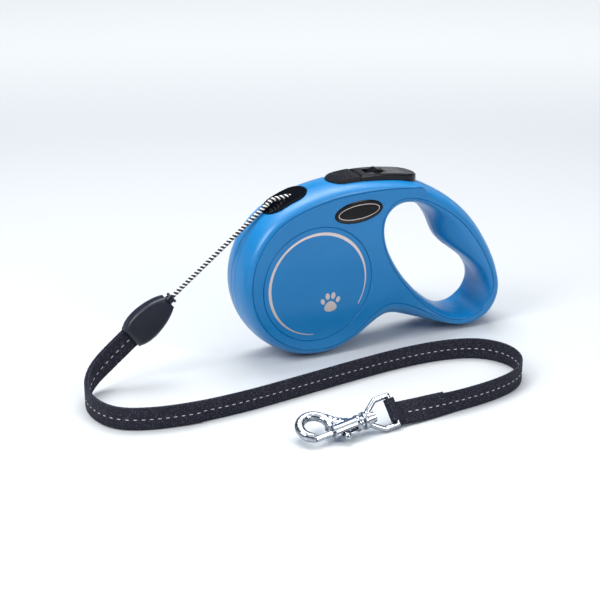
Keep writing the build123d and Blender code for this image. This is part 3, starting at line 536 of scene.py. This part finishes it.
def closed_curve(points, count, even=True):
    """A smooth closed curve through points, as (points, place along the given points)."""
    ring = np.array(points, float)
    size = len(ring)
    steps = np.linalg.norm(np.roll(ring, -1, 0) - ring, axis=1)
    before = np.roll(steps, 1)
    system = np.zeros((size, size))
    right = np.zeros((size, 2))
    for i in range(size):
        j, k = (i - 1) % size, (i + 1) % size
        system[i, j], system[i, i], system[i, k] = before[i], 2 * (before[i] + steps[i]), steps[i]
        right[i] = 6 * ((ring[k] - ring[i]) / steps[i] - (ring[i] - ring[j]) / before[i])
    bend = np.linalg.solve(system, right)

    def at(place):
        i = int(place) % size
        k, step = (i + 1) % size, steps[i]
        b = (place - int(place))
        a = 1 - b
        return (a * ring[i] + b * ring[k]
                + step * step / 6 * ((a ** 3 - a) * bend[i] + (b ** 3 - b) * bend[k]))

    fine = np.linspace(0, size, 40 * size, endpoint=False)
    dense = np.array([at(p) for p in fine])
    if even:
        run = np.linalg.norm(np.diff(np.vstack([dense, dense[:1]]), axis=0), axis=1)
        length = np.concatenate([[0], np.cumsum(run)])
        wanted = np.linspace(0, length[-1], count, endpoint=False)
        places = np.interp(wanted, length, np.append(fine, size))
    else:
        places = np.linspace(0, size, count, endpoint=False)
    return np.array([at(p) for p in places]), places


def outward(points):
    """Unit normals of an anticlockwise closed curve, pointing out of it."""
    run = np.roll(points, -1, 0) - np.roll(points, 1, 0)
    side = np.stack([run[:, 1], -run[:, 0]], 1)
    return side / np.linalg.norm(side, axis=1)[:, None]


def lifted(points, y):
    """Curve points at one depth y, or at a depth each, as points of the frame."""
    depth = np.broadcast_to(np.asarray(y, float), (len(points),))
    return [mm(x, d, z) for (x, z), d in zip(points, depth)]


def circle_points(centre, radii, tilt, count):
    turn = radians(tilt)
    points = []
    for i in range(count):
        a = 2 * pi * i / count
        x, z = radii[0] * cos(a), radii[1] * sin(a)
        points.append((centre[0] + x * cos(turn) - z * sin(turn), centre[1] + x * sin(turn) + z * cos(turn)))
    return np.array(points)


# Housing shells

def shell(side):
    """One shell: rim, crease, side face with its recesses, flared finger hole and inner wall."""
    bm = bmesh.new()
    drum = [(DRUM_CENTRE[0] + DRUM_RADIUS * cos(radians(a)), DRUM_CENTRE[1] + DRUM_RADIUS * sin(radians(a)))
            for a in np.linspace(*DRUM_ARC, DRUM_ARC_POINTS + 1)]
    outline, places = closed_curve(drum + OUTLINE_POINTS, OUTLINE_COUNT)
    normal = outward(outline)
    stations = np.array(RIM)
    width = np.interp(places, stations[:, 0], stations[:, 1])
    crease = np.interp(places, stations[:, 0], stations[:, 2])
    face, _ = closed_curve(HOLE_FACE, HOLE_COUNT, even=False)
    throat, _ = closed_curve(HOLE_THROAT, HOLE_COUNT, even=False)
    seam = -SEAM_Y
    half = HALF_THICKNESS

    def rim(depth, y):
        return lifted(outline - normal * np.asarray(depth).reshape(-1, 1) * np.ones((len(outline), 1)), y)

    def rounded(y, sunk=0.0):
        share = 1 - (1 - (y / half) ** 2) ** 0.5
        return rim(width * share + sunk, y)

    ring = start_ring(bm, rounded(seam, SEAM_GROOVE))
    first = ring
    stops = [seam + side * SEAM_GROOVE]
    if side > 0:
        stops += [0.0, SEAM_Y - SEAM_GROOVE, (SEAM_Y, SEAM_GROOVE), SEAM_Y + SEAM_GROOVE]
    stops += [side * half * sin(radians(a)) for a in (17, 24, 31, 38, 45, 52, 59, 66, 73, 80, 85)]
    for stop in stops:
        y, sunk = stop if isinstance(stop, tuple) else (stop, 0.0)
        ring = next_ring(bm, ring, rounded(y, sunk))
    face_y = side * half
    ring = next_ring(bm, ring, rim(width, face_y))
    ring = next_ring(bm, ring, rim(width + CREASE_WIDTH / 2, face_y - side * CREASE_DEPTH * crease))
    edge = next_ring(bm, ring, rim(width + CREASE_WIDTH, face_y))

    away = outward(face) * (1 if signed_area(face) > 0 else -1)
    hole_edge = start_ring(bm, lifted(face + away * CREASE_WIDTH, face_y))
    disc_edge = pocket(bm, circle_points((0, REEL_Z), (DISC_RADIUS + PLATE_CHAMFER,) * 2, 0, 160), side,
                       DISC_THICKNESS, PLATE_CHAMFER)
    radii = (BADGE_SIZE[0] / 2 + 0.15, BADGE_SIZE[1] / 2 + 0.15)
    badge_edge = pocket(bm, circle_points(BADGE_CENTRE, radii, BADGE_TILT, 96), side, BADGE_SUNK, 0.1)
    fill(bm, [edge, hole_edge, disc_edge, badge_edge], (0, side, 0))

    ring = next_ring(bm, hole_edge, lifted(face + away * CREASE_WIDTH / 2, face_y - side * CREASE_DEPTH))
    ring = next_ring(bm, ring, lifted(face, face_y - side * 0.05))
    depth = half - 0.05
    for turn in (12, 24, 36, 47, 57, 66, 74, 80.5):
        share = sin(radians(turn))
        ring = next_ring(bm, ring, lifted(face + (throat - face) * share, side * depth * cos(radians(turn))))
    if side > 0:
        ring = next_ring(bm, ring, lifted(throat, 0.0))
    last = next_ring(bm, ring, lifted(throat, seam))

    inner_y = side * (half - WALL)
    out_wall = next_ring(bm, first, rim(WALL, seam))
    out_wall = next_ring(bm, out_wall, rim(width * 0.2 + WALL, side * 9.0))
    out_wall = next_ring(bm, out_wall, rim(np.minimum(width + 1.0, 4.6 + 0 * width), inner_y))
    throat_out = outward(throat) * (1 if signed_area(throat) > 0 else -1)
    hole_wall = next_ring(bm, last, lifted(throat + throat_out * WALL * 0.6, seam))
    hole_wall = next_ring(bm, hole_wall, lifted(throat + throat_out * WALL * 0.6 + (face - throat) * 0.3, side * 8.0))
    hole_wall = next_ring(bm, hole_wall, lifted(face + away * 1.2, inner_y))
    fill(bm, [out_wall, hole_wall], (0, -side, 0))
    bmesh.ops.remove_doubles(bm, verts=bm.verts, dist=1e-7)
    bmesh.ops.recalc_face_normals(bm, faces=bm.faces)
    return bm


def signed_area(points):
    x, z = points[:, 0], points[:, 1]
    return 0.5 * float(np.sum(x * np.roll(z, -1) - np.roll(x, -1) * z))


def pocket(bm, points, side, depth, chamfer):
    """A shallow recess in the side face; gives the ring at the face."""
    face_y = side * HALF_THICKNESS
    edge = start_ring(bm, lifted(points, face_y))
    centre = points.mean(0)
    shrunk = centre + (points - centre) * (1 - chamfer / np.linalg.norm(points - centre, axis=1))[:, None]
    ring = next_ring(bm, edge, lifted(shrunk, face_y - side * 1.5 * chamfer))
    ring = next_ring(bm, ring, lifted(shrunk, face_y - side * depth))
    bmesh.ops.edgeloop_fill(bm, edges=ring)
    return edge


def slot_tool(name, length, width, height, place, slope=0.0):
    """A closed tool with round ends, its middle at place, for cutting an opening in the rim."""
    bm = bmesh.new()
    bmesh.ops.create_circle(bm, cap_ends=True, radius=width / 2 * MM, segments=48)
    stretch = (length - width) / 2 * MM
    for vert in bm.verts:
        vert.co.x += stretch if vert.co.x > 1e-9 else -stretch if vert.co.x < -1e-9 else 0
    top = bmesh.ops.extrude_face_region(bm, geom=bm.faces[:])
    moved = [g for g in top["geom"] if isinstance(g, bmesh.types.BMVert)]
    bmesh.ops.translate(bm, verts=moved, vec=(0, 0, height * MM))
    bmesh.ops.translate(bm, verts=bm.verts, vec=(0, 0, -height * MM / 2))
    turn = Matrix.Translation(mm(*place)) @ Matrix.Rotation(-radians(slope), 4, "Y")
    bmesh.ops.transform(bm, matrix=turn, verts=bm.verts)
    bmesh.ops.recalc_face_normals(bm, faces=bm.faces)
    data = bpy.data.meshes.new(name)
    bm.to_mesh(data)
    bm.free()
    tool = bpy.data.objects.new(name, data)
    bpy.context.scene.collection.objects.link(tool)
    return tool


def well_tool(place):
    """A closed round tool that opens a screw's well in the right-hand shell."""
    bm = bmesh.new()
    bmesh.ops.create_cone(bm, cap_ends=True, segments=32, radius1=SCREW_WELL_RADIUS * MM,
                          radius2=SCREW_WELL_RADIUS * MM, depth=10 * MM)
    bmesh.ops.rotate(bm, cent=(0, 0, 0), matrix=Matrix.Rotation(pi / 2, 3, "X"), verts=bm.verts)
    bmesh.ops.translate(bm, verts=bm.verts, vec=mm(place[0], 15.7, place[1]))
    data = bpy.data.meshes.new("well")
    bm.to_mesh(data)
    bm.free()
    tool = bpy.data.objects.new("well", data)
    bpy.context.scene.collection.objects.link(tool)
    return tool


def rim_tools():
    """Tools for the outlet bush's opening and for the plate and button."""
    low, high, width = BUTTON_PLAN
    bush = slot_tool("bush_opening", BUSH_SIZE[0] + 2 * OPENING_GAP, BUSH_SIZE[1] + 2 * OPENING_GAP, 10.0,
                     (BUSH_MIDDLE[0], 0, BUSH_MIDDLE[1]), BUSH_SLOPE)
    button = slot_tool("button_opening", high - low + 2 * OPENING_GAP, width + 2 * OPENING_GAP, 30.0,
                       ((low + high) / 2, 0, 106.0))
    return [bush, button]


def add_housing(materials):
    for name, side in (("shell_left", -1), ("shell_right", 1)):
        piece = make_piece(name, shell(side), materials["housing_plastic"], None)
        tools = rim_tools()
        if side > 0:
            tools += [well_tool(place) for place in SCREW_PLACES]
        cut(piece, tools)
        piece.data.set_sharp_from_angle(angle=radians(28))
        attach(piece, "case")
        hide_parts("housing_left" if side < 0 else "housing_right")


def add_face_plate(side, materials):
    """Round face plate: a turned profile with a chamfered edge, slightly crowned."""
    bm = bmesh.new()
    face_y = side * HALF_THICKNESS
    profile = [(0, -0.02), (12, -0.02), (24, -0.01), (31, 0.0), (DISC_RADIUS - PLATE_CHAMFER, 0.0),
               (DISC_RADIUS - 0.02, 1.5 * PLATE_CHAMFER), (DISC_RADIUS - 0.02, DISC_THICKNESS)]
    verts = [bm.verts.new(mm(r, face_y - side * sunk, REEL_Z)) for r, sunk in profile]
    edges = [bm.edges.new(pair) for pair in zip(verts, verts[1:])]
    bmesh.ops.spin(bm, geom=verts + edges, cent=mm(0, 0, REEL_Z), axis=(0, 1, 0), angle=2 * pi, steps=160,
                   use_merge=True)
    bmesh.ops.remove_doubles(bm, verts=bm.verts, dist=1e-7)
    holes = [e for e in bm.edges if e.is_boundary]
    bmesh.ops.edgeloop_fill(bm, edges=holes)
    bmesh.ops.recalc_face_normals(bm, faces=bm.faces)
    name = "left" if side < 0 else "right"
    piece = make_piece("face_plate_" + name, bm, materials["housing_plastic"], "case")
    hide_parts("disc_" + name)


def add_foil_ring(side, materials):
    """Open ring of foil on the face plate, widest at the front and tapered to its ends."""
    bm = bmesh.new()
    face_y = side * HALF_THICKNESS
    start = radians(FOIL_SPAN[0])
    verts = []
    for radius in (FOIL_RADIUS - 1, FOIL_RADIUS + 1):
        verts.append(bm.verts.new(mm(radius * cos(start), face_y, REEL_Z + radius * sin(start))))
    edge = bm.edges.new(verts)
    sweep = radians(FOIL_SPAN[0] - FOIL_SPAN[1])
    bmesh.ops.spin(bm, geom=verts + [edge], cent=mm(0, 0, REEL_Z), axis=(0, 1, 0), angle=sweep, steps=150)
    centre = mm(0, face_y, REEL_Z)
    for vert in bm.verts:
        arm = vert.co - centre
        angle = atan2(arm.z, arm.x)
        share = ((start - angle) % (2 * pi)) / sweep
        share = min(share, 1.0) if share < 1.02 else 0.0
        bulge = sin(pi * share) ** 0.8 * (0.75 + 0.25 * cos(2 * pi * (share - 0.22) * 2))
        half = (FOIL_WIDTH[0] + (FOIL_WIDTH[1] - FOIL_WIDTH[0]) * bulge) / 2
        radius = FOIL_RADIUS + (half if arm.length > FOIL_RADIUS * MM else -half)
        vert.co = centre + arm.normalized() * radius * MM
    return finish_foil(bm, side, "foil_ring_", materials)


def finish_foil(bm, side, name, materials):
    """Gives flat foil its thickness, standing just proud of the face."""
    top = bmesh.ops.extrude_face_region(bm, geom=bm.faces[:])
    moved = [g for g in top["geom"] if isinstance(g, bmesh.types.BMVert)]
    bmesh.ops.translate(bm, verts=moved, vec=(0, side * FOIL_THICKNESS * MM, 0))
    bmesh.ops.recalc_face_normals(bm, faces=bm.faces)
    return make_piece(name + ("left" if side < 0 else "right"), bm, materials["foil"], "case")


def add_paw(side, materials):
    """A plain paw print in foil: one pad and four toes."""
    bm = bmesh.new()
    spots = [(0.0, -0.35, 0.62, 0.52, 0)]
    spots += [(-0.78, 0.22, 0.2, 0.29, 22), (-0.29, 0.66, 0.22, 0.33, 8), (0.29, 0.66, 0.22, 0.33, -8),
              (0.78, 0.22, 0.2, 0.29, -22)]
    for x, z, wide, tall, tilt in spots:
        centre = (PAW_CENTRE[0] + PAW_SIZE * x, PAW_CENTRE[1] + PAW_SIZE * z)
        points = circle_points((0, 0), (wide * PAW_SIZE, tall * PAW_SIZE), 0, 32)
        if x == 0.0:
            points[:, 0] *= 1.0 - 0.28 * points[:, 1] / (tall * PAW_SIZE)
        turn = radians(tilt)
        turned = points @ np.array([[cos(turn), sin(turn)], [-sin(turn), cos(turn)]])
        ring = start_ring(bm, lifted(turned + np.array(centre), side * HALF_THICKNESS))
        bmesh.ops.edgeloop_fill(bm, edges=ring)
    return finish_foil(bm, side, "foil_paw_", materials)


def add_badge(side, materials):
    """Domed oval badge with a fine silver line inside its edge."""
    name = "left" if side < 0 else "right"
    bm = bmesh.new()
    base = side * (HALF_THICKNESS - BADGE_SUNK)
    half = (BADGE_SIZE[0] / 2, BADGE_SIZE[1] / 2)

    def oval(inset, rise):
        points = circle_points(BADGE_CENTRE, (half[0] - inset, half[1] - inset), BADGE_TILT, 96)
        return lifted(points, side * (HALF_THICKNESS + rise))

    ring = start_ring(bm, lifted(circle_points(BADGE_CENTRE, half, BADGE_TILT, 96), base))
    bottom = ring
    levels = [(0.0, -0.05), (0.06, 0.08), (0.25, 0.2), (0.6, 0.28), (1.4, 0.33), (2.6, 0.36), (4.2, 0.385)]
    for inset, rise in levels:
        ring = next_ring(bm, ring, oval(inset, rise))
    bmesh.ops.edgeloop_fill(bm, edges=ring)
    bmesh.ops.edgeloop_fill(bm, edges=bottom)
    bmesh.ops.recalc_face_normals(bm, faces=bm.faces)
    piece = make_piece("badge_oval_" + name, bm, materials["dark_trim"], "case")
    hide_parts("badge_" + name)
    line = bmesh.new()
    inner = start_ring(line, oval(2.45, 0.34))
    next_ring(line, inner, oval(2.1, 0.33))
    thick = bmesh.ops.extrude_face_region(line, geom=line.faces[:])
    moved = [g for g in thick["geom"] if isinstance(g, bmesh.types.BMVert)]
    bmesh.ops.translate(line, verts=moved, vec=(0, side * 0.05 * MM, 0))
    bmesh.ops.recalc_face_normals(line, faces=line.faces)
    make_piece("badge_line_" + name, line, materials["foil"], "case")


# Cord and strap

def route_spline(name, points):
    """The smooth line of a cord through its control points, as an object with no bevel."""
    data = bpy.data.curves.new(name, "CURVE")
    data.dimensions = "3D"
    data.resolution_u = 24
    spline = data.splines.new("NURBS")
    spline.points.add(len(points) - 1)
    for point, place in zip(spline.points, points):
        point.co = (*mm(*place), 1.0)
    spline.order_u = 3
    spline.use_endpoint_u = True
    line = bpy.data.objects.new(name, data)
    bpy.context.scene.collection.objects.link(line)
    return line


def spline_points(line):
    """The points of a smooth line, in order, and drops the line."""
    bpy.context.view_layer.update()
    mesh = bpy.data.meshes.new_from_object(line.evaluated_get(bpy.context.evaluated_depsgraph_get()))
    points = [v.co.copy() for v in mesh.vertices]
    bpy.data.objects.remove(line)
    bpy.data.meshes.remove(mesh)
    return points


def run_lengths(points):
    steps = [0.0]
    for a, b in zip(points, points[1:]):
        steps.append(steps[-1] + (b - a).length)
    return steps


def at_length(points, steps, length):
    """Point and direction at a length along a line."""
    i = int(np.clip(np.searchsorted(steps, length) - 1, 0, len(points) - 2))
    span = steps[i + 1] - steps[i]
    share = (length - steps[i]) / span
    return points[i].lerp(points[i + 1], share), (points[i + 1] - points[i]).normalized()


def add_cord(materials):
    """The free cord: an eight-strand braid from the outlet to the collar."""
    start, end = mm(*OUTLET_LIP), mm(*COLLAR_TOP)
    direction = (end - start).normalized()
    length = (end - start).length
    other = Vector((0, 1, 0))
    side = other.cross(direction)
    count, facets = 220, 32
    bm = bmesh.new()
    along = bm.verts.layers.float.new("along")
    around = bm.verts.layers.float.new("around")

    def section(run):
        points = []
        for i in range(facets):
            a = 2 * pi * i / facets
            lobes = cos(CORD_STRANDS / 2 * a + run * 1950) * cos(CORD_STRANDS / 2 * a - run * 1950)
            radius = CORD_DIAMETER / 2 * MM * (0.95 + 0.06 * lobes)
            points.append(start + direction * run + (side * cos(a) + other * sin(a)) * radius)
        return points

    ring = start_ring(bm, section(0.0))
    rings = [ring]
    for i in range(1, count + 1):
        ring = next_ring(bm, ring, section(length * i / count))
        rings.append(ring)
    for i, each in enumerate(rings):
        for k, vert in enumerate(ring_verts(each)):
            vert[along] = length * i / count
            vert[around] = k / facets * 2 if k <= facets / 2 else 2 - k / facets * 2
    bmesh.ops.edgeloop_fill(bm, edges=rings[0])
    bmesh.ops.edgeloop_fill(bm, edges=rings[-1])
    bmesh.ops.recalc_face_normals(bm, faces=bm.faces)
    cord = make_piece("free_cord", bm, materials["cord_weave"], "case", 80)
    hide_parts("leash_cord")
    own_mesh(cord)


def strap_frame(points, steps, length):
    """Middle, direction, width axis and face axis of the strap at a length along it."""
    middle, run = at_length(points, steps, length)
    left = steps[-1] - length
    share = float(np.clip(1 - left / (TWIST_LENGTH * MM), 0, 1))
    share = share * share * (3 - 2 * share)
    width = Vector((0, 0, 1)).lerp(Vector(BAR_DIRECTION), share)
    width = (width - run * width.dot(run)).normalized()
    return middle, run, width, width.cross(run).normalized()


def ribbon(points, steps, span, offset, rise=0.0, taper=0.0):
    """A flat woven layer along part of the route, offset across its face."""
    bm = bmesh.new()
    along = bm.verts.layers.float.new("along")
    across = bm.verts.layers.float.new("across")
    half_w, half_t = STRAP_WIDTH / 2 * MM, STRAP_LAYER / 2 * MM
    corner = 0.42 * MM
    section = []
    for sx, sy in ((1, 1), (-1, 1), (-1, -1), (1, -1)):
        for a in (0, 30, 60, 90) if sx == sy else (90, 60, 30, 0):
            section.append((sx * (half_w - corner + corner * cos(radians(a))),
                            sy * (half_t - corner + corner * sin(radians(a)))))
    extra = [(-half_w * k, half_t) for k in (-0.66, -0.33, 0, 0.33, 0.66)]
    section = section[:4] + extra + section[4:12] + [(-x, -y) for x, y in extra] + section[12:]
    count = max(int((span[1] - span[0]) / (1.3 * MM)), 4)
    ring, rings = None, []
    for i in range(count + 1):
        length = span[0] + (span[1] - span[0]) * i / count
        middle, run, width, face = strap_frame(points, steps, length)
        ripple = 0.05 * MM * sin(length * 1900)
        places = [middle + face * (offset * MM + t) + width * (w + rise * MM + (ripple if w > 0 else -ripple))
                  for w, t in section]
        ring = next_ring(bm, ring, places) if ring else start_ring(bm, places)
        rings.append((ring, length))
    for each, length in rings:
        for vert, (w, t) in zip(ring_verts(each), section):
            vert[along], vert[across] = length, w
    bmesh.ops.edgeloop_fill(bm, edges=rings[0][0])
    bmesh.ops.edgeloop_fill(bm, edges=rings[-1][0])
    bmesh.ops.recalc_face_normals(bm, faces=bm.faces)
    return bm


def add_strap(metal, materials):
    """The strap with its sewn-back ends, its fold round the bar and its stitching."""
    points = spline_points(route_spline("strap_line", STRAP_ROUTE))
    steps = run_lengths(points)
    total = steps[-1]
    weave = materials["strap_weave"]
    strap = make_piece("webbing", ribbon(points, steps, (0.0, total), 0.0), weave, "leash_end")
    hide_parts("strap")
    rear = (5.5 * MM, SEWN_BACK_REAR * MM)
    front = (total - SEWN_BACK_FRONT * MM, total)
    make_piece("rear_fold", ribbon(points, steps, rear, -STRAP_LAYER, 0.35), weave, "leash_end")
    make_piece("front_fold", ribbon(points, steps, front, -STRAP_LAYER, 0.35), weave, "leash_end")
    add_bar_fold(points, steps, total, weave)
    add_stitches(points, steps, total, rear, front, materials)


def add_bar_fold(points, steps, total, weave):
    """The turn of webbing round the eye's bar, joining the two layers."""
    _, run, _, face = strap_frame(points, steps, total)
    axis = Vector(BAR_DIRECTION).normalized()
    centre = mm(*BAR_CENTRE)
    outward_ = (face - axis * face.dot(axis)).normalized()
    bm = bmesh.new()
    along = bm.verts.layers.float.new("along")
    across = bm.verts.layers.float.new("across")
    inner, outer, half = 1.62 * MM, 2.85 * MM, STRAP_WIDTH / 2 * MM
    corners = [(inner, -half), (outer, -half), (outer, half), (inner, half)]
    ring = start_ring(bm, [centre + outward_ * r + axis * h for r, h in corners])
    bmesh.ops.edgeloop_fill(bm, edges=ring)
    bmesh.ops.spin(bm, geom=bm.faces[:] + bm.edges[:] + bm.verts[:], cent=centre, axis=axis, angle=2 * pi,
                   steps=40, use_merge=True)
    bmesh.ops.remove_doubles(bm, verts=bm.verts, dist=1e-7)
    inside = [f for f in bm.faces if abs(f.normal.dot(axis)) > 0.99 and len(f.verts) == 4
              and (f.calc_center_median() - centre).length < 0]
    bmesh.ops.delete(bm, geom=inside, context="FACES")
    for vert in bm.verts:
        arm = vert.co - centre
        vert[across] = arm.dot(axis)
        flat = arm - axis * arm.dot(axis)
        vert[along] = total + 0.0025 * atan2(flat.dot(axis.cross(outward_)), flat.dot(outward_))
    bmesh.ops.recalc_face_normals(bm, faces=bm.faces)
    make_piece("bar_fold", bm, weave, "leash_end")


def add_stitches(points, steps, total, rear, front, materials):
    """A row of reflective stitches down the middle of both faces."""
    bm = bmesh.new()
    count = int((total - 9 * MM) / (STITCH_PITCH * MM))
    for i in range(count):
        length = 6 * MM + i * STITCH_PITCH * MM
        middle, run, width, face = strap_frame(points, steps, length)
        doubled = rear[0] < length < rear[1] or front[0] < length < front[1]
        for side in (-1, 1):
            layer = STRAP_LAYER * (1.5 if doubled and side < 0 else 0.5) * MM
            place = Matrix.Translation(middle + face * side * (layer + 0.02 * MM))
            axes = Matrix((run, width, face)).transposed().to_4x4()
            size = Matrix.Diagonal((STITCH_LENGTH / 2 * MM, 0.24 * MM, 0.16 * MM, 1))
            bmesh.ops.create_uvsphere(bm, u_segments=8, v_segments=6, radius=1.0,
                                      matrix=place @ axes @ size @ Matrix.Rotation(pi / 2, 4, "Y"))
    make_piece("stitching", bm, materials["stitch_thread"], "leash_end", 180)


# Cast snap

def node_mesh(name):
    """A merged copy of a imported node's shape."""
    bm = bmesh.new()
    bm.from_mesh(frame["nodes"][name].data)
    bmesh.ops.remove_doubles(bm, verts=bm.verts, dist=1e-7)
    return bm


def smooth_casting(name, bm, body, material, grain, rounds, node):
    """Melts overlapping closed shapes into one casting with soft corners."""
    piece = make_piece(name, bm, material, body, 180)
    melt = piece.modifiers.new("melt", "REMESH")
    melt.mode, melt.voxel_size, melt.use_smooth_shade = "VOXEL", grain * MM, True
    soften = piece.modifiers.new("soften", "SMOOTH")
    soften.factor, soften.iterations = 0.5, rounds
    baked(piece)
    piece.data.shade_smooth()
    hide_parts(node)
    return piece


def hook_axes():
    """Places on the hook: along the barrel towards the tip, towards the loop, and square to it."""
    gate, bar = mm(*GATE_CENTRE), mm(*BAR_CENTRE)
    run = (gate - bar).normalized()
    roll = Vector((0, -sin(radians(HOOK_ROLL)), cos(radians(HOOK_ROLL))))
    square = (roll - run * roll.dot(run)).normalized()
    across = square.cross(run)
    length = (gate - bar).length
    return Matrix((run, across, square)).transposed().to_4x4(), bar, length


def cast_hook(materials):
    """Hook with a full round loop that flows into the barrel along a concave web."""
    bm = node_mesh("hook_body")
    axes, bar, length = hook_axes()
    place = Matrix.Translation(bar) @ axes
    gate = length / MM
    half = LOOP_RADIUS * MM
    ring = bmesh.ops.create_circle(bm, cap_ends=True, radius=LOOP_WIRE * MM, segments=24)["verts"]
    start = radians(LOOP_SPAN[0])
    stand = Matrix.Translation((length, -half, 0)) @ Matrix.Rotation(pi / 2 - start, 4, "Z")
    stand = stand @ Matrix.Translation((half, 0, 0)) @ Matrix.Rotation(pi / 2, 4, "X")
    bmesh.ops.transform(bm, matrix=place @ stand, verts=ring)
    faces = [f for f in bm.faces if all(v in ring for v in f.verts)]
    geometry = ring + faces + list({e for f in faces for e in f.edges})
    bmesh.ops.spin(bm, geom=geometry, cent=place @ Vector((length, -half, 0)), axis=axes.col[2].xyz,
                   angle=-radians(LOOP_SPAN[1] - LOOP_SPAN[0]), steps=60, use_duplicate=True)
    for along, across, radius in WEB:
        spot = place @ Matrix.Translation(((gate - along) * MM, -across * MM, 0))
        bmesh.ops.create_uvsphere(bm, u_segments=24, v_segments=16, radius=radius * MM, matrix=spot)
    return smooth_casting("cast_hook", bm, "hook", materials["snap_chrome"], 0.28, 10, "hook_body")


def cast_eye(materials):
    """The swivel's eye with softened corners, its wire a little fuller."""
    bm = node_mesh("swivel_eye")
    bm.normal_update()
    for vert in bm.verts:
        vert.co += vert.normal * EYE_GROWTH * MM
    return smooth_casting("cast_eye", bm, "eye", materials["snap_chrome"], 0.2, 5, "swivel_eye")


def add_coil(node, body, towards_seat, materials):
    """A spring copied from its imported node, in spring steel, carried by its body."""
    coil = make_piece(node + "_coil", node_mesh(node), materials["spring_steel"], body, 60)
    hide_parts(node)
    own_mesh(coil)


# Finish

def paint_cad_nodes(materials):
    """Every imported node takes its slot's material."""
    slots = {entry["node"]: entry["material_slot"] for entry in frame["record"]["subparts"]}
    slots["cord_lead"] = slots["cord_winding"] = "wound_cord"
    for name, node in frame["nodes"].items():
        node.data.materials.clear()
        node.data.materials.append(materials[slots[name]])


def main():
    add_camera()
    materials = make_materials()
    add_cord(materials)
    add_strap([cast_hook(materials), cast_eye(materials)], materials)
    add_studio()
    add_housing(materials)
    for side in (-1, 1):
        add_face_plate(side, materials)
        add_foil_ring(side, materials)
        add_paw(side, materials)
        add_badge(side, materials)
    add_coil("button_spring", "case", Vector((0, 0, -1)), materials)
    add_coil("bolt_spring", "hook", -hook_axes()[0].col[0].xyz, materials)
    paint_cad_nodes(materials)


main()
